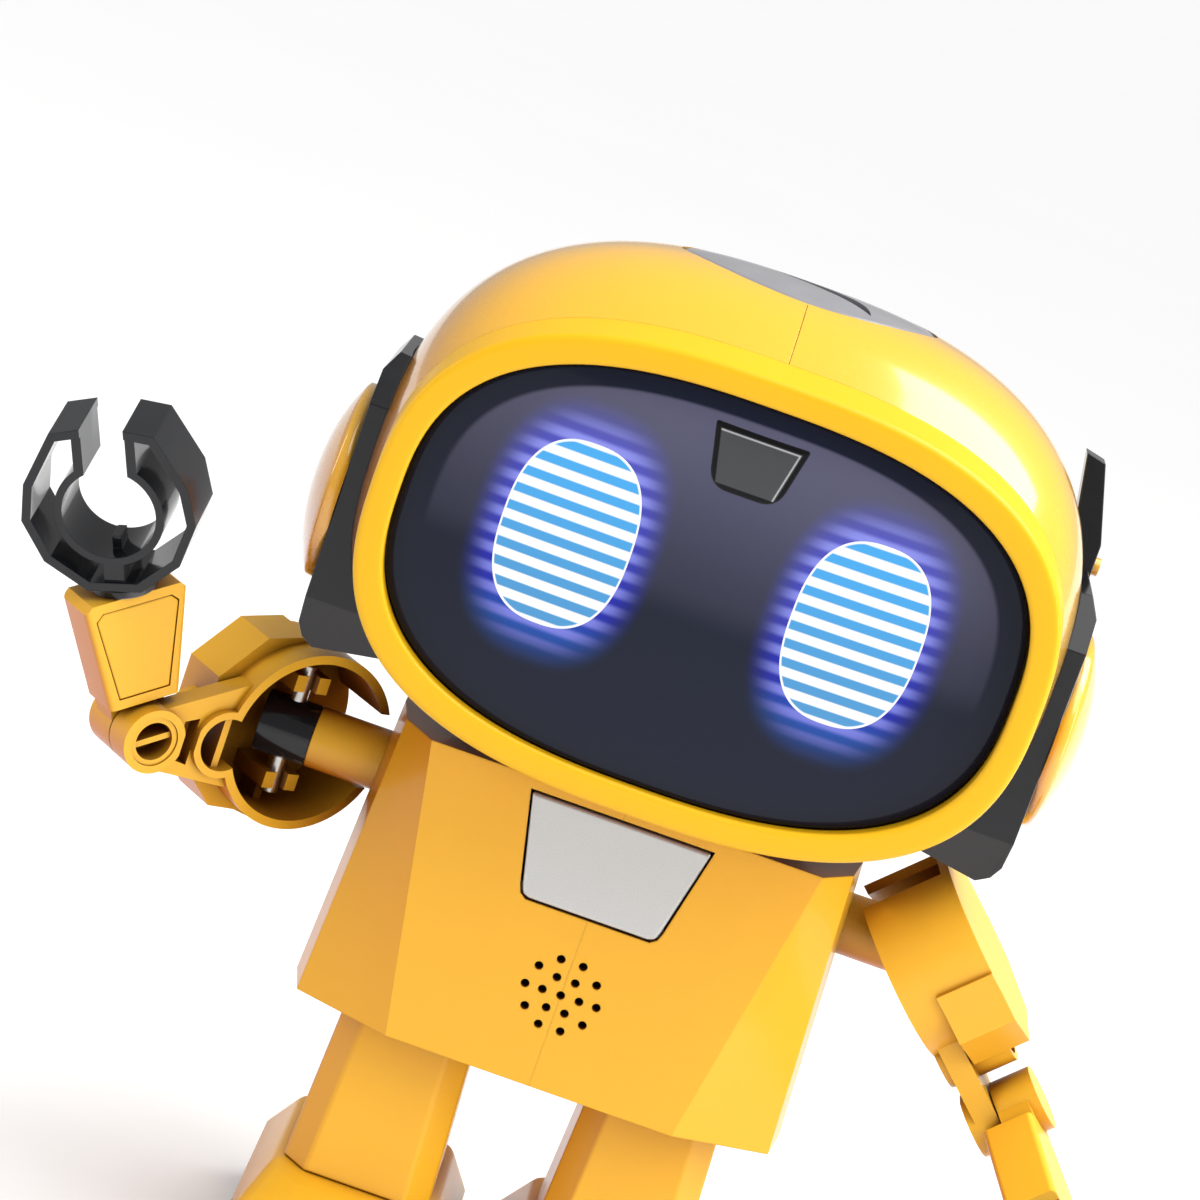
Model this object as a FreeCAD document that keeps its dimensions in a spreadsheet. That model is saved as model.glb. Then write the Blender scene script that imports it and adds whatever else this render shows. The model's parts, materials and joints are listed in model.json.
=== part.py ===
import FreeCAD, Part
import Sketcher
import math
import os
import re

# Toy robot. The face looks along -Y, the robot's left is +X, and the floor is z = 0 below the
# middle of the object. Lengths are millimetres and angles are degrees.

V = FreeCAD.Vector
Rotation = FreeCAD.Rotation
Placement = FreeCAD.Placement
X_AXIS = V(1, 0, 0)
Y_AXIS = V(0, 1, 0)
Z_AXIS = V(0, 0, 1)
SIDES = (("right", -1), ("left", 1))

SIZES = {
    # fits
    "seat_gap": 0.1, "run_gap": 0.06, "free_gap": 0.4, "bite_in": 0.5,
    # head
    "head_z": 138, "head_depth": 70, "head_wall": 1.6, "ring_w": 105.6, "ring_tall": 70.2,
    "ring_deep": 8, "ring_band": 4.4, "ring_ledge": 1.6, "visor_seat": 7, "visor_thick": 2,
    "visor_curve": 420, "visor_inset": 1.2, "bulge_side": 3.25, "bulge_top": 10.6,
    "bulge_base": 4.6, "base_drop": 36.5,
    "eye_w": 20.3, "eye_tall": 28.9, "eye_x": 22.8, "eye_rise": 2.4, "lens_thick": 0.8,
    "window_top_w": 14.9, "window_base_w": 10.6, "window_tall": 9.8, "window_rise": 26.4,
    "panel_w": 42, "panel_deep": 28, "panel_back": 36, "slot_long": 21, "slot_w": 4.4,
    "board_w": 98, "board_tall": 62, "board_thick": 1.6, "lamp_deep": 1.6,
    "bracket_out": 5.2, "bracket_rise": 16, "bracket_drop": 33, "bracket_front": 18,
    "bracket_deep": 30, "dome_d": 32, "dome_thick": 5.7, "dome_edge": 1.6, "dome_drop": 8,
    "dome_back": 33, "fin_out": 2.4, "fin_back": 51, "fin_rise": 15.5, "fin_w": 4.8,
    "fin_deep": 7, "fin_long": 16.5, "fin_lean": 3.2, "fin_pin_d": 3,
    # neck and torso
    "neck_y": 3, "neck_d": 20, "neck_bore": 13, "neck_flange": 3, "torso_top": 98.4,
    "torso_base": 50, "torso_wall": 1.8, "torso_front": 15, "torso_back": 34,
    "chest_top_w": 64.6, "chest_base_w": 48, "torso_top_w": 77.6, "torso_base_w": 83,
    "back_w": 58, "plate_top_w": 29.6, "plate_base_w": 23, "plate_base": 79.4,
    "plate_top": 96, "plate_lip": 1.4, "plate_proud": 0.3,
    "cell_d": 10.5, "cell_long": 44.5, "box_wall": 1.2, "box_base": 57,
    "flap_w": 10, "flap_tall": 6, "screw_head_d": 4.4, "screw_d": 2.2, "screw_long": 7,
    "speaker_d": 17, "speaker_thick": 5, "speaker_z": 66, "main_w": 44, "main_tall": 34,
    "switch_x": 14, "switch_z": 91, "switch_travel": 3,
    # arms, in the arm's own frame: origin on the shoulder pins, outwards is -X
    "shoulder_x": 55.6, "shoulder_y": 8, "shoulder_z": 86, "stub_d": 10.2, "stub_end": 22.6,
    "flange_d": 14, "flange_x": 19, "flange_thick": 1.5, "barrel_d": 10.3, "barrel_in": 4.3,
    "barrel_out": 4.5, "pin_d": 3, "pin_reach": 11.2, "pin_root": 2.6,
    "hub_d": 30.4, "hub_wall": 1.5, "hub_front": 6.5, "hub_back": 7.2, "entry_tall": 13,
    "clip_w": 6.4, "clip_front": 2.6, "clip_in": 7.1, "clip_out": 9.9, "clip_mouth": 2.2,
    "elbow_x": 28, "elbow_drop": 3, "elbow_d": 10.8, "elbow_bore": 8.2, "elbow_split": 1.5,
    "link_ring_x": 15, "link_ring_d": 11.4, "link_wall": 1.2,
    "knuckle_back": 5.8, "fore_base": 6.2, "fore_top": 25, "fore_base_w": 12,
    "fore_top_w": 17.5, "fore_front": 4.4, "fore_back": 4.1, "cover_inset": 1.7,
    "cover_thick": 1, "collar_d": 10.6, "collar_thick": 1.4, "stem_d": 5, "stem_root": 17,
    "claw_z": 39.6, "claw_w": 27.3, "claw_top": 14.4, "claw_base": 12.8, "claw_deep": 12,
    "claw_wall": 1.4, "grip_d": 14.7, "grip_wall": 1.25, "claw_gap": 6.8,
    # legs
    "leg_x": 21, "leg_y": 7, "leg_top_w": 22, "leg_top_deep": 26, "leg_base_w": 25,
    "leg_base_deep": 30, "ankle_clear": 3, "leg_wall": 1.6,
    "foot_w": 36, "foot_long": 66, "foot_top_w": 27, "foot_top_long": 40, "foot_y": 8,
    "foot_slope": 9, "foot_wall": 1.6, "sole_base": 1.4, "sole_thick": 2.2,
    "wheel_d": 13, "wheel_w": 7, "tyre_d": 18, "tyre_w": 7.6, "wheel_y": 18, "wheel_in": 4.4,
    "shaft_d": 3, "motor_w": 13, "motor_long": 30, "motor_tall": 12,
    "roller_d": 7, "roller_w": 16, "roller_y": 18.5,
}

# Rest pose of each arm: swing about the shoulder stub, spread about the shoulder pins, bend at
# the elbow and turn at the wrist.
ARM_POSE = {
    "right": {"swing": 0, "spread": 39, "elbow": -24, "wrist": -40},
    "left": {"swing": 90, "spread": 45, "elbow": -145, "wrist": 0},
}

# Head form behind the face ring: share of the depth, share of the bulge, share of the width left.
HEAD_FORM = (
    (0.0, 0.15, 1.0),
    (0.1, 0.55, 1.0),
    (0.28, 0.95, 1.0),
    (0.48, 1.0, 0.995),
    (0.67, 1.0, 0.935),
    (0.84, 1.0, 0.8),
    (0.95, 1.0, 0.59),
    (1.0, 1.0, 0.38),
)
BRACKET_X = "(ring_w / 2 + bracket_out)"
FIN_X = "(ring_w / 2 + fin_out)"
ANKLE_Z = "(tyre_d + ankle_clear)"
FOOT_MID_Z = "(tyre_d + ankle_clear - foot_slope)"
OVAL_POWER = 2.65
OVAL_POINTS = 28
OVAL_SEAM = 5
GRILLE_RINGS = ((1, 0.0), (6, 0.36), (10, 0.7))

SIZE_NAME = re.compile("[a-z]+(?:_[a-z]+)+")

doc = FreeCAD.newDocument("toy_robot")
sheet = doc.addObject("Spreadsheet::Sheet", "Sizes")
parts = []


def fill_sheet():
    """Write each driving size into the sheet and name its cell."""
    for row, (name, value) in enumerate(SIZES.items(), start=1):
        sheet.set("A%d" % row, name)
        sheet.set("B%d" % row, str(value))
        sheet.setAlias("B%d" % row, name)
    doc.recompute()


def size(name):
    """The sheet's present value of a size."""
    return float(getattr(sheet, name))


def bound(text):
    """The expression with every size name pointed at the sheet."""
    return SIZE_NAME.sub(lambda word: "Sizes." + word.group(0), str(text))


def bind(obj, **properties):
    """Bind properties to expressions. Double underscores stand for dots."""
    for name, text in properties.items():
        obj.setExpression(name.replace("__", "."), bound(text))
    return obj


# ---------------------------------------------------------------- building blocks

def at(obj, x="0", y="0", z="0"):
    """Bind an object's position to expressions."""
    return bind(obj, Placement__Base__x=x, Placement__Base__y=y, Placement__Base__z=z)


def box(name, corner, lengths):
    """Box from its low corner and its three lengths."""
    obj = doc.addObject("Part::Box", name)
    bind(obj, Length=lengths[0], Width=lengths[1], Height=lengths[2])
    return at(obj, *corner)


def rod(name, diameter, length, base, axis=Z_AXIS):
    """Cylinder from the centre of its base along an axis."""
    obj = doc.addObject("Part::Cylinder", name)
    obj.Placement = Placement(V(0, 0, 0), Rotation(Z_AXIS, axis))
    bind(obj, Radius="(%s) / 2" % diameter, Height=length)
    return at(obj, *base)


def computed(name, shape):
    """Object for a form that neither a body nor a primitive can make."""
    obj = doc.addObject("Part::Feature", name)
    obj.Shape = shape
    return obj


def fuse(name, *pieces):
    obj = doc.addObject("Part::MultiFuse", name)
    obj.Shapes = list(pieces)
    return obj


def common(name, *pieces):
    obj = doc.addObject("Part::MultiCommon", name)
    obj.Shapes = list(pieces)
    return obj


def cut(name, base, *tools):
    """Base less all the tools."""
    obj = doc.addObject("Part::Cut", name)
    obj.Base = base
    obj.Tool = tools[0] if len(tools) == 1 else fuse(name + "_cutter", *tools)
    return obj


def origin_feature(body, role):
    return [item for item in body.Origin.OriginFeatures if item.Role == role][0]


def outline(body, plane, points, away="0"):
    """Closed sketch on an origin plane of its body, each corner bound to two expressions."""
    sketch = body.newObject("Sketcher::SketchObject", "Outline")
    sketch.AttachmentSupport = [(origin_feature(body, plane), "")]
    sketch.MapMode = "FlatFace"
    bind(sketch, AttachmentOffset__Base__z=away)
    count = len(points)
    turn = 2 * math.pi / count
    spots = [V(9 * math.cos(turn * k + 0.3), 9 * math.sin(turn * k + 0.3), 0) for k in range(count)]
    for k in range(count):
        sketch.addGeometry(Part.LineSegment(spots[k], spots[(k + 1) % count]))
    for k in range(count):
        sketch.addConstraint(Sketcher.Constraint("Coincident", k, 2, (k + 1) % count, 1))
    for k, corner in enumerate(points):
        for kind, text, start in zip(("DistanceX", "DistanceY"), corner, spots[k]):
            number = sketch.addConstraint(Sketcher.Constraint(kind, -1, 1, k, 1, start))
            sketch.setExpression("Constraints[%d]" % number, bound(text))
    return sketch


def new_body(name):
    return doc.addObject("PartDesign::Body", name)


def pad(body, plane, points, away, length):
    """Add a padded outline. Pads on XZ grow towards -Y, on YZ towards +X and on XY upwards."""
    feature = body.newObject("PartDesign::Pad", "Pad")
    feature.Profile = outline(body, plane, points, away)
    return bind(feature, Length=length)


def padded(name, plane, points, away, length):
    """Body with one pad."""
    body = new_body(name)
    pad(body, plane, points, away, length)
    return body


def lofted(name, sections):
    """Body with straight faces between outlines at given heights."""
    body = new_body(name)
    sketches = [outline(body, "XY_Plane", points, height) for points, height in sections]
    feature = body.newObject("PartDesign::AdditiveLoft", "Loft")
    feature.Profile = sketches[0]
    feature.Sections = sketches[1:]
    feature.Ruled = True
    return body


def turned(name, points, axis=Z_AXIS):
    """Body turned about an axis. Points are (radius, distance along the axis)."""
    body = new_body(name)
    feature = body.newObject("PartDesign::Revolution", "Revolution")
    feature.Profile = outline(body, "XZ_Plane", points)
    feature.ReferenceAxis = (feature.Profile[0], ["V_Axis"])
    feature.Angle = 360
    body.Placement = Placement(V(0, 0, 0), Rotation(Z_AXIS, axis))
    return body


def round_edges(body, radius, wanted):
    """Fillet the edges of a body that pass a test."""
    doc.recompute()
    base = body.Tip
    names = ["Edge%d" % (k + 1) for k, edge in enumerate(base.Shape.Edges) if wanted(edge)]
    feature = body.newObject("PartDesign::Fillet", "Fillet")
    feature.Base = (base, names)
    return bind(feature, Radius=radius)


def along(direction):
    """Test for straight edges that run along a direction."""
    return lambda edge: (edge.Curve.TypeId == "Part::GeomLine"
                         and edge.tangentAt(edge.FirstParameter).cross(direction).Length < 0.01)


def mirrored_points(half):
    """Closed outline from its +X half, listed from the bottom up."""
    return list(half) + [("-(%s)" % x, y) for x, y in reversed(half)]


def keep(label, obj):
    """List an object as a finished sub-part."""
    obj.Label = label
    parts.append(obj)
    return obj


# ---------------------------------------------------------------- head forms

def oval_wire(half_w, top, base, y):
    """Smooth closed oval in an XZ plane, squarer than an ellipse."""
    spots = []
    for k in range(OVAL_POINTS):
        turn = 2 * math.pi * (k - OVAL_SEAM) / OVAL_POINTS
        across = math.copysign(abs(math.cos(turn)) ** (2 / OVAL_POWER), math.cos(turn))
        up = math.copysign(abs(math.sin(turn)) ** (2 / OVAL_POWER), math.sin(turn))
        height = top if up > 0 else base
        spots.append(V(half_w * across, y, size("head_z") + height * up))
    curve = Part.BSplineCurve()
    curve.interpolate(spots, PeriodicFlag=True)
    return Part.Wire(curve.toShape())


def face_y():
    return -size("head_depth") / 2


def oval_block(half_w, half_tall, front, back):
    """Straight oval block between two depths behind the face."""
    face = Part.Face(oval_wire(half_w, half_tall, half_tall, face_y() + front))
    return face.extrude(V(0, back - front, 0))


def head_loft(inset):
    """Head form behind the ring, drawn in by an inset and flattened below for the neck."""
    wires = []
    deep = size("head_depth") - size("ring_deep")
    for share, bulge, left in HEAD_FORM:
        depth = size("ring_deep") + share * deep - (inset if share == 1.0 else 0)
        wires.append(oval_wire(
            (size("ring_w") / 2 + bulge * size("bulge_side")) * left - inset,
            (size("ring_tall") / 2 + bulge * size("bulge_top")) * left - inset,
            (size("ring_tall") / 2 + bulge * size("bulge_base")) * left - inset,
            face_y() + depth))
    form = Part.makeLoft(wires, True, False)
    floor = size("head_z") - size("base_drop") + inset
    block = Part.makeBox(200, 200, 200, V(-100, -100, floor))
    return form.common(block)


def ring_form():
    """Face ring: outer edge meets the shells, inner edge has a ledge behind the visor."""
    front = oval_wire(size("ring_w") / 2, size("ring_tall") / 2, size("ring_tall") / 2, face_y())
    share = HEAD_FORM[0][1]
    back = oval_wire(size("ring_w") / 2 + share * size("bulge_side"),
                     size("ring_tall") / 2 + share * size("bulge_top"),
                     size("ring_tall") / 2 + share * size("bulge_base"),
                     face_y() + size("ring_deep"))
    form = Part.makeLoft([front, back], True, True)
    band = size("ring_band")
    half_w = size("ring_w") / 2 - band
    half_tall = size("ring_tall") / 2 - band
    form = form.cut(oval_block(half_w, half_tall, -1, size("visor_seat")))
    ledge = size("ring_ledge")
    return form.cut(oval_block(half_w - ledge, half_tall - ledge, 0, size("ring_deep") + 1))


def visor_ball(name, back):
    """Large ball whose front skin is the visor's curve, set back by a depth."""
    obj = doc.addObject("Part::Sphere", name)
    bind(obj, Radius="visor_curve")
    return at(obj, y="-head_depth / 2 + visor_inset + visor_curve + " + back, z="head_z")


def visor_form():
    half_w = size("ring_w") / 2 - size("ring_band") - size("seat_gap")
    half_tall = size("ring_tall") / 2 - size("ring_band") - size("seat_gap")
    return oval_block(half_w, half_tall, -1, size("visor_seat") - size("seat_gap"))


def visor_hollow():
    rim = size("ring_ledge")
    half_w = size("ring_w") / 2 - size("ring_band") - rim
    half_tall = size("ring_tall") / 2 - size("ring_band") - rim
    return oval_block(half_w, half_tall, -1, size("visor_seat") + 1)


def eye_block(side, inset):
    """Oval prism of an eye lens through the visor."""
    centre = V(side * size("eye_x"), 0, size("eye_rise"))
    block = oval_block(size("eye_w") / 2 - inset, size("eye_tall") / 2 - inset, -2, 6)
    block.translate(centre)
    return block


def make_head():
    keep("face_ring", computed("face_ring", ring_form()))
    make_visor()
    make_head_shells()
    for name, side in SIDES:
        make_ear(name, side)
    make_antenna()
    make_display_board()


def make_visor():
    """Curved window with two eye lenses and a sensor window let into its front."""
    skin = visor_ball("visor_skin", "0")
    inner = visor_ball("visor_inner", "visor_thick")
    pocket_floor = visor_ball("lens_floor", "lens_thick")
    hollow = common("visor_dish", computed("visor_bore", visor_hollow()), inner)
    front = common("visor_front", computed("visor_block", visor_form()), skin)
    pockets = []
    for name, side in SIDES:
        seat = computed("eye_seat_" + name, eye_block(side, 0))
        pockets.append(cut("eye_pocket_" + name, seat, pocket_floor))
        lens = computed("eye_blank_" + name, eye_block(side, size("seat_gap") / 2))
        bulged = common("eye_bulged_" + name, lens, skin)
        keep("eye_" + name, cut("eye_" + name, bulged, pocket_floor))
    seat = window_blank("window_seat", "0")
    pockets.append(cut("window_pocket", seat, pocket_floor))
    bulged = common("window_bulged", window_blank("window_blank", "seat_gap / 2"), skin)
    keep("sensor_window", cut("sensor_window", bulged, pocket_floor))
    keep("visor", cut("visor", front, hollow, *pockets))


def window_blank(name, inset):
    """Trapezoid prism of the sensor window, narrower below."""
    top = "head_z + window_rise - " + inset
    base = "head_z + window_rise - window_tall + " + inset
    body = padded(name, "XZ_Plane", mirrored_points((
        ("window_base_w / 2 - " + inset, base),
        ("window_top_w / 2 - " + inset, top))),
        "head_depth / 2 - 6", "8")
    round_edges(body, "1.6", lambda edge: along(Y_AXIS)(edge)
                and edge.CenterOfMass.z < size("head_z") + size("window_rise") - 5)
    return body


def panel_post(name, inset):
    """Upright elliptical post over the head's top."""
    half_x = size("panel_w") / 2 - inset
    half_y = size("panel_deep") / 2 - inset
    centre = V(0, face_y() + size("panel_back"), size("head_z") + size("ring_tall") / 4)
    tips = [centre + V(half_x, 0, 0), centre + V(0, half_y, 0)]
    tips.sort(key=centre.distanceToPoint, reverse=True)
    face = Part.Face(Part.Wire(Part.Ellipse(tips[0], tips[1], centre).toShape()))
    return computed(name, face.extrude(V(0, 0, size("head_depth"))))


def slot_cutter():
    """Curved leaf through the touch panel."""
    half = size("slot_long") / 2
    across = size("slot_w")
    ends = (V(-half, 0, 0), V(half, 0, 0))
    upper = Part.Arc(ends[0], V(0, across * 1.25, 0), ends[1]).toShape()
    lower = Part.Arc(ends[1], V(0, across * 0.25, 0), ends[0]).toShape()
    leaf = Part.Face(Part.Wire([upper, lower])).extrude(V(0, 0, size("head_depth")))
    leaf.rotate(V(0, 0, 0), Z_AXIS, -38)
    leaf.translate(V(1.5, face_y() + size("panel_back") - 3, size("head_z")))
    return leaf


def make_head_shells():
    """Two half shells that meet on the centre line, and the touch panel let into their top."""
    outer = computed("head_outer", head_loft(0))
    inner = computed("head_inner", head_loft(size("head_wall")))
    walls = cut("head_walls", outer, inner)
    neck_hole = rod("head_neck_hole", "neck_d + 2 * run_gap + 0.2", "20",
                    ("0", "neck_y", "head_z - base_drop - 8"))
    shell = cut("head_shell", walls, panel_post("panel_opening", 0), neck_hole)
    for name, side in SIDES:
        half = box("head_half_" + name, ("%d" % (0 if side > 0 else -100), "-100", "0"),
                   ("100", "200", "300"))
        keep("head_shell_" + name, common("head_shell_" + name, shell, half))
    disc = common("panel_disc", walls, panel_post("panel_blank", size("seat_gap")))
    keep("touch_panel", cut("touch_panel", disc, computed("panel_slot", slot_cutter())))


def make_ear(name, side):
    """Black wedge bracket that beds on the shell, and the round cap on it."""
    sign = "-1 * " if side < 0 else ""
    front = padded("bracket_front_" + name, "XZ_Plane", (
        (sign + "(ring_w / 2 - 10)", "head_z - bracket_drop + 2.5"),
        (sign + "(" + BRACKET_X + " - 3)", "head_z - bracket_drop"),
        (sign + "(" + BRACKET_X + " - 1)", "head_z - bracket_drop + 1.5"),
        (sign + BRACKET_X, "head_z - bracket_drop + 4"),
        (sign + BRACKET_X, "head_z + bracket_rise - 3"),
        (sign + "(" + BRACKET_X + " - 1.6)", "head_z + bracket_rise"),
        (sign + "(ring_w / 2 - 9)", "head_z + bracket_rise - 1")),
        "head_depth / 2 - bracket_front - bracket_deep", "bracket_deep")
    flank = padded("bracket_flank_" + name, "YZ_Plane", (
        ("-head_depth / 2 + bracket_front + 6", "head_z - bracket_drop"),
        ("-head_depth / 2 + bracket_front + bracket_deep - 6", "head_z - bracket_drop"),
        ("-head_depth / 2 + bracket_front + bracket_deep", "head_z - bracket_drop + 9"),
        ("-head_depth / 2 + bracket_front + bracket_deep", "head_z + bracket_rise - 8"),
        ("-head_depth / 2 + bracket_front + bracket_deep - 6", "head_z + bracket_rise"),
        ("-head_depth / 2 + bracket_front + 6", "head_z + bracket_rise"),
        ("-head_depth / 2 + bracket_front", "head_z + bracket_rise - 8"),
        ("-head_depth / 2 + bracket_front", "head_z - bracket_drop + 9")),
        "-" + BRACKET_X + " - 2", "2 * " + BRACKET_X + " + 4")
    wedge = common("bracket_wedge_" + name, front, flank)
    keep("ear_bracket_" + name, cut("ear_bracket_" + name, wedge, doc.getObject("head_outer")))
    drum = rod("dome_drum_" + name, "dome_d", "dome_thick",
               (sign + BRACKET_X, "-head_depth / 2 + dome_back", "head_z - dome_drop"),
               X_AXIS * side)
    ball = doc.addObject("Part::Sphere", "dome_ball_" + name)
    cap = "(dome_thick - dome_edge)"
    radius = "((dome_d / 2) ^ 2 + %s ^ 2) / (2 * %s)" % (cap, cap)
    bind(ball, Radius=radius)
    at(ball, "%s(%s + dome_thick - %s)" % (sign, BRACKET_X, radius),
       "-head_depth / 2 + dome_back", "head_z - dome_drop")
    keep("ear_dome_" + name, common("ear_dome_" + name, drum, ball))


def make_antenna():
    """Flat fin at the rear of the left side, folding about a pin that stands out of the shell."""
    blade = padded("fin_front", "XZ_Plane", (
        (FIN_X + " - fin_w / 2", "head_z + fin_rise - 3"),
        (FIN_X + " + fin_w / 2", "head_z + fin_rise - 3"),
        (FIN_X + " + fin_w / 2", "head_z + fin_rise + 4"),
        (FIN_X + " - fin_lean + 1.8", "head_z + fin_rise + fin_long"),
        (FIN_X + " - fin_lean - 1.6", "head_z + fin_rise + fin_long + 0.8"),
        (FIN_X + " - fin_w / 2", "head_z + fin_rise + 4.2")),
        "head_depth / 2 - fin_back - fin_deep / 2", "fin_deep")
    flank = padded("fin_flank", "YZ_Plane", (
        ("-head_depth / 2 + fin_back - fin_deep / 2", "head_z + fin_rise - 2"),
        ("-head_depth / 2 + fin_back - 2", "head_z + fin_rise - 3"),
        ("-head_depth / 2 + fin_back + 2", "head_z + fin_rise - 3"),
        ("-head_depth / 2 + fin_back + fin_deep / 2", "head_z + fin_rise - 2"),
        ("-head_depth / 2 + fin_back + fin_deep / 2 - 1", "head_z + fin_rise + fin_long + 1"),
        ("-head_depth / 2 + fin_back - fin_deep / 2 + 2", "head_z + fin_rise + fin_long + 1")),
        FIN_X + " - 8", "16")
    pin_hole = rod("fin_hole", "fin_pin_d + 2 * run_gap", "20",
                   (FIN_X + " - 10", "-head_depth / 2 + fin_back", "head_z + fin_rise"), X_AXIS)
    keep("antenna_fin", cut("antenna_fin", common("fin_form", blade, flank), pin_hole))
    boss = rod("fin_boss", "6.4", "12", (FIN_X + " - fin_w / 2 - seat_gap - 12",
               "-head_depth / 2 + fin_back", "head_z + fin_rise"), X_AXIS)
    pin = rod("fin_pin", "fin_pin_d", "16", (FIN_X + " - fin_w / 2 - 10",
              "-head_depth / 2 + fin_back", "head_z + fin_rise"), X_AXIS)
    joined = fuse("fin_mount", boss, pin)
    keep("antenna_boss", cut("antenna_boss", joined, doc.getObject("head_outer")))


def make_display_board():
    """Board behind the ring with a lamp block behind each eye and behind the sensor window."""
    front = size("ring_deep")
    plate = computed("board_plate", oval_block(size("board_w") / 2, size("board_tall") / 2,
                                               front, front + size("board_thick")))
    lamps = []
    for name, side in SIDES:
        sign = "-1 * " if side < 0 else ""
        lamps.append(box("lamp_" + name, (sign + "eye_x - eye_w * 0.4",
                     "-head_depth / 2 + ring_deep - lamp_deep",
                     "head_z + eye_rise - eye_tall * 0.4"),
                     ("eye_w * 0.8", "lamp_deep + bite_in", "eye_tall * 0.8")))
    lamps.append(box("sensor_block", ("-window_base_w / 2",
                 "-head_depth / 2 + ring_deep - lamp_deep",
                 "head_z + window_rise - window_tall"),
                 ("window_base_w", "lamp_deep + bite_in", "window_tall * 0.7")))
    lamps.append(box("board_chip", ("-7", "-head_depth / 2 + ring_deep + board_thick - bite_in",
                 "head_z - 12"), ("14", "1.4 + bite_in", "14")))
    keep("display_board", fuse("display_board", plate, *lamps))


# ---------------------------------------------------------------- torso

SCREW_PLACES = (("-14", "torso_base + 4"), ("14", "torso_base + 4"),
                ("-26", "torso_top - 6"), ("26", "torso_top - 6"))
BOX_TOP = "(box_base + 2 * cell_d + 2 * box_wall + 2 * free_gap)"
BOX_FRONT = "(torso_back - torso_wall - 2 * cell_d - 2 * free_gap - box_wall)"
BOX_HALF = "(cell_long / 2 + 2 + box_wall)"


def torso_ring(width, chest, inset):
    """Ten-sided outline of the torso at one height, drawn in by an inset."""
    half = "(%s / 2 - %s)" % (width, inset)
    return mirrored_points((
        ("%s / 2 - 0.6 * %s" % (chest, inset), "-torso_front + " + inset),
        (half + " - 1.5", "-torso_front + 7"),
        (half, "-torso_front + 17"),
        (half, "torso_back - 9"),
        ("back_w / 2 - 0.6 * " + inset, "torso_back - " + inset)))


def torso_block(name, inset):
    return lofted(name, (
        (torso_ring("torso_base_w", "chest_base_w", inset), "torso_base + " + inset),
        (torso_ring("torso_top_w", "chest_top_w", inset), "torso_top - " + inset)))


def plate_outline(gap):
    return mirrored_points((
        ("plate_base_w / 2 - 1.6 + " + gap, "plate_base - " + gap),
        ("plate_base_w / 2 - 0.5 + " + gap, "plate_base + 0.4"),
        ("plate_base_w / 2 + " + gap, "plate_base + 1.8"),
        ("plate_top_w / 2 + " + gap, "plate_top + " + gap)))


def screw(name, x, z, face):
    """Pan screw driven towards -Y into a rear face, with a cross in its head."""
    head = rod(name + "_head", "screw_head_d", "1.4", (x, face + " - 1.6", z), Y_AXIS)
    shank = rod(name + "_shank", "screw_d", "screw_long + bite_in",
                (x, face + " - 1.6 - screw_long", z), Y_AXIS)
    blades = []
    for wide, tall in (("2.6", "0.6"), ("0.6", "2.6")):
        blades.append(box(name + "_cross", (x + " - %s / 2" % wide, face + " - 0.8",
                      "%s - %s / 2" % (z, tall)), (wide, "2", tall)))
    return cut(name, fuse(name + "_blank", head, shank), *blades)


def make_torso():
    make_torso_shells()
    make_neck_collar()
    make_battery_box()
    make_electronics()
    make_switch()


def torso_openings():
    """Everything that is cut through the torso wall."""
    tools = [rod("neck_seat", "neck_d + 2 * seat_gap", "12", ("0", "neck_y", "torso_top - 6"))]
    for name, side in SIDES:
        tools.append(rod("stub_bore_" + name, "stub_d + 2 * run_gap", "30",
                         ("%d * 25" % side, "shoulder_y", "shoulder_z"), X_AXIS * side))
        tools.append(rod("leg_socket_" + name, "10 + 2 * seat_gap", "8",
                         ("%d * leg_x" % side, "leg_y", "torso_base - 4")))
    tools.append(padded("plate_opening", "XZ_Plane", plate_outline("free_gap"),
                        "torso_front - torso_wall - 0.5", "6"))
    tools.append(box("door_opening", ("-(%s)" % BOX_HALF, "torso_back - torso_wall - 1",
                 "box_base"), ("2 * %s" % BOX_HALF, "8", "%s - box_base" % BOX_TOP)))
    tools.append(box("flap_opening", ("-flap_w / 2", "torso_back - torso_wall - 1",
                 BOX_TOP + " - bite_in"), ("flap_w", "8", "flap_tall + bite_in")))
    tools.append(box("switch_slot", ("switch_x - 2.7 - switch_travel / 2", "torso_back - 5",
                 "switch_z - 1.9"), ("5.4 + switch_travel", "8", "3.8")))
    for count, share in GRILLE_RINGS:
        for k in range(count):
            turn = 2 * math.pi * k / count
            reach = share * size("speaker_d") / 2
            tools.append(rod("grille_hole", "1.4", "8", (
                "%f" % (reach * math.cos(turn)), "-torso_front - 3",
                "speaker_z + %f" % (reach * math.sin(turn))), Y_AXIS))
    for x, z in SCREW_PLACES:
        tools.append(rod("screw_bore", "screw_d", "14", (x, "torso_back - 12", z), Y_AXIS))
        tools.append(rod("screw_seat", "screw_head_d + 2 * seat_gap", "4",
                         (x, "torso_back - 1.6", z), Y_AXIS))
    return tools


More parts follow.
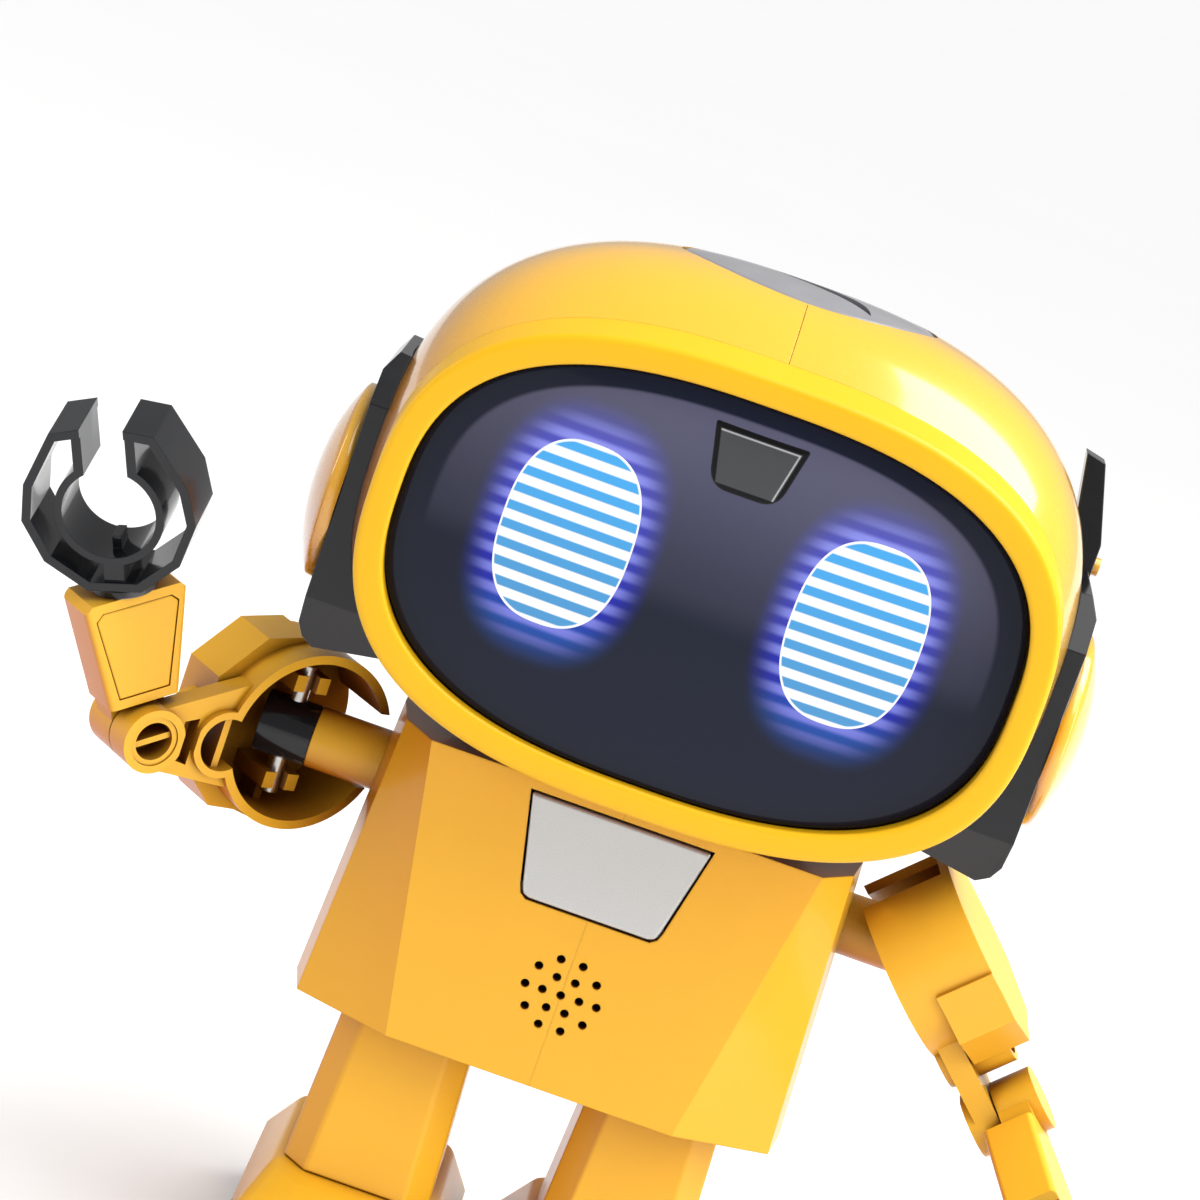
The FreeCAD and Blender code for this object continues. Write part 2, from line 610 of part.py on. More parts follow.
def make_torso_shells():
    """Faceted torso in two halves that meet on the centre line, with the plate in its chest."""
    walls = cut("torso_walls", torso_block("torso_outer", "0"),
                torso_block("torso_inner", "torso_wall"))
    bosses = [rod("screw_boss", "5.6", "9", (x, "torso_back - torso_wall - 8.5", z), Y_AXIS)
              for x, z in SCREW_PLACES]
    shell = cut("torso_shell", fuse("torso_form", walls, *bosses), *torso_openings())
    for name, side in SIDES:
        half = box("torso_half_" + name, ("%d" % (0 if side > 0 else -100), "-100", "0"),
                   ("100", "200", "300"))
        keep("torso_shell_" + name, common("torso_shell_" + name, shell, half))
    plate = padded("chest_plate", "XZ_Plane", plate_outline("0"),
                   "torso_front - torso_wall", "torso_wall + plate_proud")
    lip = plate_outline("plate_lip")
    pad(plate, "XZ_Plane", lip[:3] + lip[-3:], "torso_front - torso_wall - plate_lip",
        "plate_lip")
    keep("chest_plate", plate)
    screws = [screw("case_screw_%d" % k, x, z, "torso_back")
              for k, (x, z) in enumerate(SCREW_PLACES)]
    keep("case_screws", fuse("case_screws", *screws))


def make_neck_collar():
    """Collar clamped in the torso's top on which the head turns."""
    wide = "neck_d / 2 + neck_flange"
    floor = "(head_z - base_drop)"
    collar = turned("neck_collar", (
        ("neck_bore / 2", "torso_top - torso_wall - 2"),
        (wide, "torso_top - torso_wall - 2"),
        (wide, "torso_top - torso_wall"),
        ("neck_d / 2", "torso_top - torso_wall"),
        ("neck_d / 2", "torso_top"),
        (wide, "torso_top"),
        (wide, floor + " - run_gap"),
        ("neck_d / 2", floor + " - run_gap"),
        ("neck_d / 2", floor + " + head_wall + run_gap"),
        (wide, floor + " + head_wall + run_gap"),
        (wide, floor + " + head_wall + run_gap + 1.8"),
        ("neck_bore / 2", floor + " + head_wall + run_gap + 1.8")))
    keep("neck_collar", at(collar, y="neck_y"))


def make_battery_box():
    """Open box for four cells, its door in the torso's back and the door's screw."""
    blank = box("box_blank", ("-" + BOX_HALF, BOX_FRONT, "box_base"), (
        "2 * " + BOX_HALF, "torso_back - torso_wall - " + BOX_FRONT, BOX_TOP + " - box_base"))
    boss = box("door_boss", ("-3.5", "torso_back - torso_wall - 10", BOX_TOP + " - bite_in"),
               ("7", "10", "flap_tall + bite_in"))
    hollow = box("box_hollow", ("-%s + box_wall" % BOX_HALF, BOX_FRONT + " + box_wall",
                 "box_base + box_wall"), ("2 * (%s - box_wall)" % BOX_HALF, "60",
                 "2 * cell_d + 2 * free_gap"))
    screw_z = BOX_TOP + " + flap_tall / 2"
    bore = rod("door_bore", "screw_d", "14", ("0", "torso_back - 12", screw_z), Y_AXIS)
    keep("battery_box", cut("battery_box", fuse("box_form", blank, boss), hollow, bore))
    cells = []
    for row in (0, 1):
        for rank in (0, 1):
            y = "%s + box_wall + free_gap / 2 + cell_d / 2 + %d * (cell_d + free_gap)" % (
                BOX_FRONT, rank)
            z = "box_base + box_wall + free_gap / 2 + cell_d / 2 + %d * (cell_d + free_gap)" % row
            can = rod("cell_can", "cell_d", "cell_long - 1", ("-cell_long / 2", y, z), X_AXIS)
            button = rod("cell_button", "3.8", "1 + bite_in", ("cell_long / 2 - 1 - bite_in", y, z),
                         X_AXIS)
            cells.append(fuse("cell", can, button))
    keep("battery_cells", fuse("battery_cells", *cells))
    door = padded("door_form", "XZ_Plane", mirrored_points((
        (BOX_HALF + " - seat_gap", "box_base + seat_gap"),
        (BOX_HALF + " - seat_gap", BOX_TOP + " - seat_gap"),
        ("flap_w / 2 - seat_gap", BOX_TOP + " - seat_gap"),
        ("flap_w / 2 - seat_gap", BOX_TOP + " + flap_tall - seat_gap"))),
        "-torso_back", "torso_wall")
    seat = rod("door_seat", "screw_head_d + 2 * seat_gap", "4",
               ("0", "torso_back - 1.6", screw_z), Y_AXIS)
    hole = rod("door_hole", "screw_d + 2 * seat_gap", "8",
               ("0", "torso_back - 6", screw_z), Y_AXIS)
    grips = [box("door_grip", ("-9", "torso_back - 0.5", "box_base + 3 + 2.2 * %d" % k),
             ("18", "2", "1")) for k in range(3)]
    keep("battery_door", cut("battery_door", door, seat, hole, *grips))
    keep("door_screw", screw("door_screw", "0", screw_z, "torso_back"))


def make_electronics():
    """Speaker behind its grille in the belly, and the main board on posts behind it."""
    away = "torso_front - torso_wall - 10"
    board = padded("main_plate", "XZ_Plane", mirrored_points((
        ("main_w / 2", "torso_base + 6"),
        ("main_w / 2", "torso_base + 6 + main_tall"))), away, "1.6")
    fittings = []
    for across in (-1, 1):
        for up in (0, 1):
            fittings.append(rod("board_post", "3.4", "8.4 + bite_in", (
                "%d * (main_w / 2 - 2.6)" % across, "-torso_front + torso_wall",
                "torso_base + 9 + %d * (main_tall - 6)" % up), Y_AXIS))
    for x, z, wide, tall in ((-9, 14, 12, 12), (8, 12, 9, 7), (9, 24, 7, 9)):
        corner = ("%d - %d / 2" % (x, wide), "-torso_front + torso_wall + 10 - bite_in",
                  "torso_base + 6 + %d - %d / 2" % (z, tall))
        fittings.append(box("board_chip", corner, (str(wide), "1.5 + bite_in", str(tall))))
    keep("main_board", fuse("main_board", board, *fittings))
    base = "-torso_front + torso_wall"
    frame = rod("speaker_frame", "speaker_d", "speaker_thick", ("0", base, "speaker_z"), Y_AXIS)
    magnet = rod("speaker_magnet", "speaker_d * 0.6", "2.4 + bite_in",
                 ("0", base + " + speaker_thick - bite_in", "speaker_z"), Y_AXIS)
    cone = rod("speaker_cone", "speaker_d - 3", "4", ("0", base + " - 2.6", "speaker_z"), Y_AXIS)
    keep("speaker", cut("speaker", fuse("speaker_form", frame, magnet), cone))


def make_switch():
    """Slide switch in the back: a fixed body and the slider that stands through the slot."""
    left = "switch_x - switch_travel / 2"
    plate = box("slider_plate", (left + " - 3.6", "torso_back - torso_wall - 1.3", "switch_z - 3"),
                ("7.2", "1.2", "6"))
    knob = box("slider_knob", (left + " - 2.6", "torso_back - torso_wall - bite_in",
               "switch_z - 1.7"), ("5.2", "torso_wall + 1.4 + bite_in", "3.4"))
    ridges = [box("slider_groove", (left + " - 1.8 + 1.4 * %d" % k, "torso_back + 0.9",
              "switch_z - 3"), ("0.7", "2", "6")) for k in range(3)]
    keep("switch_slider", cut("switch_slider", fuse("slider_form", plate, knob), *ridges))
    block = box("switch_block", ("switch_x - 7", "torso_back - torso_wall - 6.4", "switch_z - 4"),
                ("14", "5", "8"))
    ends = [box("switch_end", ("switch_x + %s" % x, "torso_back - torso_wall - 1.5",
            "switch_z - 4"), ("1", "1.5", "8")) for x in ("-7", "6")]
    keep("switch_body", fuse("switch_body", block, *ends))


# ---------------------------------------------------------------- arms

def arm_frames(name, side):
    """Placements of an arm's moving bodies at the rest pose."""
    pose = ARM_POSE[name]
    half_turn = 0 if side < 0 else 180
    shoulder = Placement(V(side * size("shoulder_x"), size("shoulder_y"), size("shoulder_z")),
                         Rotation(Z_AXIS, half_turn))
    frames = {"swing": shoulder * Placement(V(), Rotation(X_AXIS, pose["swing"]))}
    frames["spread"] = frames["swing"] * Placement(V(), Rotation(Z_AXIS, pose["spread"]))
    elbow = V(-size("elbow_x"), 0, -size("elbow_drop"))
    frames["elbow"] = frames["spread"] * Placement(elbow, Rotation(Y_AXIS, pose["elbow"]))
    frames["wrist"] = frames["elbow"] * Placement(V(), Rotation(Z_AXIS, pose["wrist"]))
    return frames


def make_shoulder(name, frame):
    """Stub with its flange inside the torso, the barrel on its end and the two pins."""
    stub = rod("stub_rod_" + name, "stub_d", "stub_end - barrel_in", ("barrel_in", "0", "0"),
               X_AXIS)
    flange = rod("stub_flange_" + name, "flange_d", "flange_thick", ("flange_x", "0", "0"), X_AXIS)
    keep("shoulder_stub_" + name, fuse("shoulder_stub_" + name, stub, flange)).Placement = frame
    barrel = rod("barrel_rod_" + name, "barrel_d", "barrel_in + barrel_out",
                 ("-barrel_out", "0", "0"), X_AXIS)
    pins = []
    seats = []
    for way in (-1, 1):
        base = ("0", "0", "%d * pin_root" % way)
        pins.append(rod("pin_%s" % name, "pin_d", "pin_reach - pin_root", base, Z_AXIS * way))
        seats.append(rod("pin_seat_" + name, "pin_d", "10", base, Z_AXIS * way))
    keep("shoulder_barrel_" + name, cut("shoulder_barrel_" + name, barrel, *seats)).Placement = frame
    keep("shoulder_pins_" + name, fuse("shoulder_pins_" + name, *pins)).Placement = frame


def make_upper_arm(name, frame):
    """Open hub with clips on the shoulder pins, and a ribbed link out to the elbow ring."""
    ring_z = "-elbow_drop * 0.7"
    deep = "hub_front + hub_back + hub_wall"
    hub = rod("hub_" + name, "hub_d", deep, ("0", "-hub_front", "0"), Y_AXIS)
    cheek = padded("cheek_" + name, "XZ_Plane", (
        ("-6", "-hub_d / 2 + 0.4"), ("-2", "-hub_d / 2 - 0.8"), ("-2", "hub_d / 2 + 0.8"),
        ("-hub_d * 0.32", "hub_d / 2 - 0.4"), ("-hub_d / 2 - 1.4", "hub_d * 0.24"),
        ("-hub_d / 2 - 1.4", "-hub_d * 0.3"), ("-hub_d * 0.36", "-hub_d / 2 + 0.6")),
        "-hub_back - hub_wall", "hub_back + hub_wall + 1")
    web = padded("web_" + name, "XZ_Plane", (
        ("-elbow_x", "-elbow_drop - elbow_d / 2 + 0.5"), ("-hub_d * 0.35", "-hub_d * 0.32"),
        ("-hub_d * 0.35", "hub_d * 0.3"), ("-elbow_x", "-elbow_drop + elbow_d / 2 - 0.5")),
        "elbow_split", "hub_front - elbow_split - 1.2")
    link_ring = rod("link_ring_" + name, "link_ring_d", "hub_front + 5",
                    ("-link_ring_x", "-hub_front", ring_z), Y_AXIS)
    elbow_ring = rod("elbow_ring_" + name, "elbow_d", "hub_front - elbow_split",
                     ("-elbow_x", "-hub_front", "-elbow_drop"), Y_AXIS)
    window = padded("web_window_" + name, "XZ_Plane", (
        ("-elbow_x + elbow_d / 2 - 0.3", "-elbow_drop - elbow_d / 2 + 2.4"),
        ("-link_ring_x - link_ring_d / 2 + 0.3", "-elbow_drop - elbow_d / 2 + 1.8"),
        ("-link_ring_x - link_ring_d / 2 + 0.3", "-elbow_drop + elbow_d / 2 - 1"),
        ("-elbow_x + elbow_d / 2 - 0.3", "-elbow_drop + elbow_d / 2 - 1.8")),
        "elbow_split + 1.2", "hub_front")
    tools = [
        rod("cavity_" + name, "hub_d - 2 * hub_wall", "hub_front + hub_back + 1",
            ("0", "-hub_front - 1", "0"), Y_AXIS),
        box("entry_" + name, ("2", "-hub_front - 1", "-entry_tall / 2"),
            ("hub_d", "hub_front + hub_back + 1", "entry_tall")),
        rod("link_bore_" + name, "link_ring_d - 2 * link_wall", "hub_front + 6",
            ("-link_ring_x", "-hub_front - 1", ring_z), Y_AXIS),
        rod("elbow_bore_" + name, "elbow_bore", "hub_front + 4",
            ("-elbow_x", "-hub_front - 1", "-elbow_drop"), Y_AXIS),
        window]
    body = cut("arm_body_" + name, fuse("arm_blank_" + name, hub, cheek, web, link_ring,
               elbow_ring), *tools)
    extras = [box("link_rib_" + name, ("-link_ring_x - 0.6", "-hub_front + 1.4",
              "%s - link_ring_d / 2 + 0.4" % ring_z), ("1.2", "hub_front + 2", "link_ring_d - 0.8"))]
    for way in (-1, 1):
        low = "clip_in" if way > 0 else "-clip_out"
        extras.append(box("clip_" + name, ("-clip_w / 2", "-clip_front", low),
                          ("clip_w", "clip_front + hub_back + bite_in", "clip_out - clip_in")))
        low = "clip_out - bite_in" if way > 0 else "-hub_d / 2 + hub_wall / 2"
        extras.append(box("clip_rib_" + name, ("-0.7", "2.4", low),
                          ("1.4", "hub_back - 2", "hub_d / 2 - hub_wall / 2 - clip_out + bite_in")))
    clear = [
        rod("pin_run_" + name, "pin_d + 2 * run_gap", "2 * clip_out + 2",
            ("0", "0", "-clip_out - 1")),
        box("clip_mouth_" + name, ("-clip_mouth / 2", "-clip_front - 1", "-clip_out - 1"),
            ("clip_mouth", "clip_front + 1", "2 * clip_out + 2"))]
    whole = cut("upper_arm_" + name, fuse("arm_form_" + name, body, *extras), *clear)
    keep("upper_arm_" + name, whole).Placement = frame


def fore_outline(inset):
    """Tapered front of the forearm, drawn in by an inset."""
    return mirrored_points((
        ("fore_base_w / 2 - " + inset, "fore_base + " + inset),
        ("fore_top_w / 2 - " + inset, "fore_top - 1.2 - " + inset),
        ("fore_top_w / 2 - 1.2 - " + inset, "fore_top - " + inset)))


def make_forearm(name, frame):
    """Forearm with its knuckle beside the elbow ring and its hollow pin inside the ring."""
    limb = padded("limb_" + name, "XZ_Plane", fore_outline("0"), "-fore_back",
                  "fore_front + fore_back")
    round_edges(limb, "0.9", lambda edge: abs(edge.CenterOfMass.x) > size("fore_base_w") / 2
                and edge.BoundBox.YLength < 0.01 and edge.BoundBox.ZLength > 6)
    knuckle = rod("knuckle_" + name, "elbow_d", "knuckle_back + elbow_split - 0.3",
                  ("0", "-elbow_split + 0.3", "0"), Y_AXIS)
    neck = box("fore_neck_" + name, ("-4.6", "-elbow_split + 0.3", "0"),
               ("9.2", "fore_back + elbow_split - 0.3", "fore_base + bite_in"))
    pin = rod("elbow_pin_" + name, "elbow_bore - 2 * run_gap", "hub_front - elbow_split + bite_in",
              ("0", "-hub_front + 0.3", "0"), Y_AXIS)
    hollow = rod("elbow_hollow_" + name, "elbow_bore - 2 * run_gap - 1.7", "hub_front - 1.6",
                 ("0", "-hub_front - 0.2", "0"), Y_AXIS)
    pocket = padded("cover_pocket_" + name, "XZ_Plane", fore_outline("(cover_inset - seat_gap)"),
                    "fore_front - cover_thick", "cover_thick + 2")
    socket = rod("wrist_socket_" + name, "stem_d + 2 * run_gap", "fore_top - stem_root + 1",
                 ("0", "0", "stem_root - 0.2"))
    body = cut("fore_body_" + name, fuse("fore_form_" + name, limb, knuckle, neck, pin), hollow,
               pocket, socket)
    rib = box("elbow_rib_" + name, ("-elbow_bore / 2 + 0.5", "-hub_front + 1", "-0.5"),
              ("elbow_bore - 1", "hub_front - 2.4", "1"))
    keep("forearm_" + name, fuse("forearm_" + name, body, rib)).Placement = frame
    cover = padded("fore_cover_" + name, "XZ_Plane", fore_outline("cover_inset"),
                   "fore_front - cover_thick", "cover_thick")
    keep("forearm_cover_" + name, cover).Placement = frame
    collar = rod("collar_disc_" + name, "collar_d", "collar_thick", ("0", "0", "fore_top"))
    bore = rod("collar_bore_" + name, "stem_d + 2 * run_gap", "5", ("0", "0", "fore_top - 1"))
    keep("wrist_collar_" + name, cut("wrist_collar_" + name, collar, bore)).Placement = frame


def claw_band():
    """Faceted outer band of the gripper, centred on the grip."""
    half = size("claw_w") / 2
    top, base = size("claw_top"), size("claw_base")
    right = [(base * 0.33, -base), (half * 0.78, -base * 0.63), (half, -base * 0.1),
             (half * 0.94, top * 0.34), (half * 0.6, top * 0.94), (size("claw_gap") / 2, top)]
    spots = [V(x, 0, z) for x, z in right] + [V(-x, 0, z) for x, z in reversed(right)]
    face = Part.Face(Part.makePolygon(spots + spots[:1]))
    inner = face.makeOffset2D(-size("claw_wall"))
    ring = face.cut(inner).extrude(V(0, size("claw_deep"), 0))
    ring.translate(V(0, -size("claw_deep") / 2, size("claw_z")))
    return ring


def make_claw(name, frame):
    """Hollow C gripper: outer band, inner grip ring, tips that join them, and the wrist stem."""
    centre = ("0", "-claw_deep / 2 + 0.6", "claw_z")
    ring = rod("grip_ring_" + name, "grip_d + 2 * grip_wall", "claw_deep - 1.2", centre, Y_AXIS)
    bore = rod("grip_bore_" + name, "grip_d", "claw_deep + 4",
               ("0", "-claw_deep / 2 - 2", "claw_z"), Y_AXIS)
    blanks = [computed("claw_band_" + name, claw_band()), ring]
    for way in (-1, 1):
        low = "claw_gap / 2 - 0.2" if way > 0 else "-claw_gap / 2 - 1.5"
        blanks.append(box("claw_tip_" + name, (low, "-claw_deep / 2 + 0.6",
                      "claw_z + grip_d / 2 - 1"), ("1.7", "claw_deep - 1.2",
                      "claw_top - grip_d / 2 + 0.4")))
    blanks.append(box("claw_foot_" + name, ("-1.6", "-claw_deep / 2 + 0.6", "claw_z - claw_base + 0.4"),
                      ("3.2", "claw_deep - 1.2", "claw_base - grip_d / 2 - 1")))
    gap = box("claw_gap_" + name, ("-claw_gap / 2", "-claw_deep", "claw_z"),
              ("claw_gap", "2 * claw_deep", "claw_top + 4"))
    form = cut("claw_form_" + name, fuse("claw_blank_" + name, *blanks), bore, gap)
    rib = box("claw_rib_" + name, ("-0.7", "-2", "claw_z - grip_d / 2 - 0.5"), ("1.4", "4", "2.6"))
    stem = rod("stem_" + name, "stem_d", "claw_z - claw_base - stem_root + 0.8",
               ("0", "0", "stem_root"))
    keep("claw_" + name, fuse("claw_" + name, form, rib, stem)).Placement = frame


def make_arms():
    for name, side in SIDES:
        frames = arm_frames(name, side)
        make_shoulder(name, frames["swing"])
        make_upper_arm(name, frames["spread"])
        make_forearm(name, frames["elbow"])
        make_claw(name, frames["wrist"])


# ---------------------------------------------------------------- legs

def cut_corners(width, long, corner, x, y):
    """Rectangle with cut corners about a centre."""
    half = ("(%s) / 2" % width, "(%s) / 2" % long)
    right = (("%s - %s" % (half[0], corner), "-" + half[1]),
             (half[0], "-%s + %s" % (half[1], corner)),
             (half[0], "%s - %s" % (half[1], corner)),
             ("%s - %s" % (half[0], corner), half[1]))
    return [("%s + %s" % (x, px), "%s + %s" % (y, py)) for px, py in mirrored_points(right)]


def leg_loft(name, inset, x):
    return lofted(name, (
        (cut_corners("leg_base_w - 2 * %s" % inset, "leg_base_deep - 2 * %s" % inset, "4", x,
                     "leg_y"), ANKLE_Z),
        (cut_corners("leg_top_w - 2 * %s" % inset, "leg_top_deep - 2 * %s" % inset, "4", x,
                     "leg_y"), "torso_base - " + inset)))


def foot_loft(name, inset, x):
    low = "sole_base + sole_thick"
    return lofted(name, (
        (cut_corners("foot_w - 2 * %s" % inset, "foot_long - 2 * %s" % inset, "7", x, "foot_y"),
         low),
        (cut_corners("foot_w - 2 * %s" % inset, "foot_long - 4 - 2 * %s" % inset, "7", x,
                     "foot_y"), FOOT_MID_Z + " - " + inset),
        (cut_corners("foot_top_w - 2 * %s" % inset, "foot_top_long - 2 * %s" % inset, "5", x,
                     "foot_y + 2"), ANKLE_Z + " - " + inset)))


def make_leg(name, side):
    """Hollow leg, hollow foot and sole, gear motor, driven wheel with its tyre, front roller."""
    x = "%d * leg_x" % side
    socket = rod("leg_spigot_" + name, "10", "2.4 + leg_wall", (x, "leg_y", "torso_base - leg_wall"))
    form = cut("leg_walls_" + name, leg_loft("leg_outer_" + name, "0", x),
               leg_loft("leg_inner_" + name, "leg_wall", x))
    keep("leg_shell_" + name, fuse("leg_shell_" + name, form, socket))
    foot = cut("foot_shell_" + name, foot_loft("foot_outer_" + name, "0", x),
               foot_loft("foot_inner_" + name, "foot_wall", x))
    keep("foot_shell_" + name, foot)
    wheel_x = "%s + %d * (wheel_in + tyre_w / 2)" % (x, side)
    axle_z = "tyre_d / 2"
    make_sole(name, x, wheel_x)
    low_x = wheel_x + " - wheel_w / 2"
    rim = rod("rim_" + name, "wheel_d", "wheel_w", (low_x, "wheel_y", axle_z), X_AXIS)
    shaft = rod("shaft_" + name, "shaft_d", "tyre_w / 2 + wheel_in + 4",
                (wheel_x, "wheel_y", axle_z), X_AXIS * -side)
    dish = rod("rim_dish_" + name, "wheel_d - 3", "2",
               ("%s + %d * (wheel_w / 2 - 1.2)" % (wheel_x, side), "wheel_y", axle_z),
               X_AXIS * side)
    keep("wheel_" + name, fuse("wheel_" + name, cut("rim_form_" + name, rim, dish), shaft))
    tread = rod("tread_" + name, "tyre_d", "tyre_w", (wheel_x + " - tyre_w / 2", "wheel_y",
                axle_z), X_AXIS)
    bore = rod("tyre_bore_" + name, "wheel_d", "tyre_w + 2",
               (wheel_x + " - tyre_w / 2 - 1", "wheel_y", axle_z), X_AXIS)
    keep("tyre_" + name, cut("tyre_" + name, tread, bore))
    inner_x = "%s - motor_w / 2 - %d * (motor_w / 2 - 2)" % (x, side)
    case = box("motor_case_" + name, (inner_x, "wheel_y - motor_long + 6",
               "sole_base + sole_thick"), ("motor_w", "motor_long", "motor_tall"))
    can = rod("motor_can_" + name, "motor_tall - 2", "8 + bite_in",
              (inner_x + " + motor_w / 2", "wheel_y - motor_long + 6 + bite_in",
               "sole_base + sole_thick + motor_tall / 2"), Y_AXIS * -1)
    run = rod("shaft_run_" + name, "shaft_d + 2 * run_gap", "wheel_in + tyre_w / 2 + 4.4",
              (wheel_x, "wheel_y", axle_z), X_AXIS * -side)
    keep("gear_motor_" + name, cut("gear_motor_" + name, fuse("motor_form_" + name, case, can),
                                   run))


def make_sole(name, x, wheel_x):
    """Sole under the foot with a slot for the wheel and bearings for the front roller."""
    front = "-roller_y"
    plate = padded("sole_plate_" + name, "XY_Plane",
                   cut_corners("foot_w", "foot_long", "7", x, "foot_y"), "sole_base",
                   "sole_thick")
    slot = box("wheel_slot_" + name, (wheel_x + " - tyre_w / 2 - free_gap",
               "wheel_y - tyre_d / 2 - free_gap", "0"),
               ("tyre_w + 2 * free_gap", "tyre_d + 2 * free_gap", "10"))
    window = box("roller_slot_" + name, (x + " - roller_w / 2 - free_gap",
                 front + " - roller_d / 2 - free_gap", "0"),
                 ("roller_w + 2 * free_gap", "roller_d + 2 * free_gap", "10"))
    ears = [box("roller_ear_" + name, ("%s + %s" % (x, low), front + " - 2.5", "sole_base + 1"),
            ("2", "5", "roller_d / 2 + 1.2")) for low in
            ("roller_w / 2 + free_gap", "-roller_w / 2 - free_gap - 2")]
    run = rod("roller_run_" + name, "2 + 2 * run_gap", "roller_w + 5",
              (x + " - roller_w / 2 - 2.5", front, "roller_d / 2"), X_AXIS)
    keep("foot_sole_" + name, cut("foot_sole_" + name, fuse("sole_form_" + name, plate, *ears),
                                  slot, window, run))
    drum = rod("roller_drum_" + name, "roller_d", "roller_w", (x + " - roller_w / 2", front,
               "roller_d / 2"), X_AXIS)
    axle = rod("roller_axle_" + name, "2", "roller_w + 4.4", (x + " - roller_w / 2 - 2.2", front,
               "roller_d / 2"), X_AXIS)
    keep("front_roller_" + name, fuse("front_roller_" + name, drum, axle))


# ---------------------------------------------------------------- build, check and write

def check_document():
    """Stop if an object failed or a sub-part is empty or invalid."""
    doc.recompute()
    for obj in doc.Objects:
        if "Invalid" in obj.State or "Error" in obj.State:
            raise RuntimeError("failed object: " + obj.Name)
    for obj in parts:
        if obj.Shape.isNull() or not obj.Shape.isValid():
            raise RuntimeError("bad shape: " + obj.Label)


def write_parts():
    os.makedirs("parts", exist_ok=True)
    for obj in parts:
        obj.Shape.exportStep(os.path.join("parts", obj.Label + ".step"))
    print("%d sub-parts" % len(parts))


fill_sheet()
make_head()
make_torso()
make_arms()
for foot_name, foot_side in SIDES:
    make_leg(foot_name, foot_side)
check_document()
write_parts()
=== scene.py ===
import json
import math

import bmesh
import bpy
from bpy.props import FloatProperty, FloatVectorProperty, IntProperty, PointerProperty
from mathutils import Matrix, Vector

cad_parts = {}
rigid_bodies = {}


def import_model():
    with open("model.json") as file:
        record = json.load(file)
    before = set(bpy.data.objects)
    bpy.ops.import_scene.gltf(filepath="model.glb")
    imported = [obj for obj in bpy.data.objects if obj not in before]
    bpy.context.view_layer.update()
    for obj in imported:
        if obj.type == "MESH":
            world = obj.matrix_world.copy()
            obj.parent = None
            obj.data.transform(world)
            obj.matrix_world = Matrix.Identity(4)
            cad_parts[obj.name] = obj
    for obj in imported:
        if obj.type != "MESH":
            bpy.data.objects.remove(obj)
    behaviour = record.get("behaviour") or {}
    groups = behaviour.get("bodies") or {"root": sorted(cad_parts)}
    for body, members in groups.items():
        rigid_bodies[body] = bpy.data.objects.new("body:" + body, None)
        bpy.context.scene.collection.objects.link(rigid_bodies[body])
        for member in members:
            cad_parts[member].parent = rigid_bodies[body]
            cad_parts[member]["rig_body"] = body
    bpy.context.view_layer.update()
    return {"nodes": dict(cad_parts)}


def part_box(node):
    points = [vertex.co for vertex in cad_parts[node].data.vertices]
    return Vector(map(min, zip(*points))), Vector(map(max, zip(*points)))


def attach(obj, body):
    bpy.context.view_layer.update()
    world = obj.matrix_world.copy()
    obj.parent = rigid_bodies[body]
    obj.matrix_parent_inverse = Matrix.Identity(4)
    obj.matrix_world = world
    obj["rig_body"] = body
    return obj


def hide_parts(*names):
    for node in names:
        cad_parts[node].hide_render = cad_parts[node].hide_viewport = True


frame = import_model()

bl_info = {
    "name": "Toy robot looks",
    "version": (1, 0, 0),
    "blender": (4, 5, 0),
    "location": "3D View > Sidebar > Toy Robot",
    "description": "Moulded shells, lit face, finishes and studio for a desktop toy robot",
    "category": "Object",
}

MM = 0.001
SIDES = (("right", -1), ("left", 1))

RING_LOW, RING_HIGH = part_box("face_ring")
HALF_HEAD_LOW, HALF_HEAD_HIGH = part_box("head_shell_left")
VISOR_LOW, VISOR_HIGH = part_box("visor")
FACE_Y = RING_LOW.y
HEAD_Z = (VISOR_LOW.z + VISOR_HIGH.z) / 2


# ------------------------------------------------------------------ settings

def colour(name, description, value):
    return FloatVectorProperty(name=name, description=description, default=value, size=3,
                               min=0, max=1, subtype="COLOR")


def length(name, description, value):
    return FloatProperty(name=name, description=description, default=value, min=0,
                         unit="LENGTH", subtype="DISTANCE", precision=5)


class ToyHeadLooks(bpy.types.PropertyGroup):
    """Sizes and counts of the head's remade pieces."""
    oval_power: FloatProperty(name="Oval squareness", description="Power of the face oval",
                              default=2.65, min=2, max=6)
    ring_round: length("Ring rounding", "Radius of the face ring's edges", 0.9 * MM)
    shell_thick: length("Shell wall", "Wall of the head shells", 1.5 * MM)
    seam: length("Seam", "Half of the seam between two shells", 0.04 * MM)
    around: IntProperty(name="Steps around", description="Mesh steps round the head",
                        default=160, min=24)
    along: IntProperty(name="Steps along", description="Mesh steps from face to back",
                       default=56, min=12)
    eye_stripes: FloatProperty(name="Eye stripes", description="White lines in each eye",
                               default=10.0, min=1)
    halo_reach: FloatProperty(name="Halo reach", description="Glow outside an eye, in eye sizes",
                              default=0.5, min=0.01)
    eye_power: FloatProperty(name="Eye squareness", description="Power of the eye oval",
                             default=2.55, min=2)


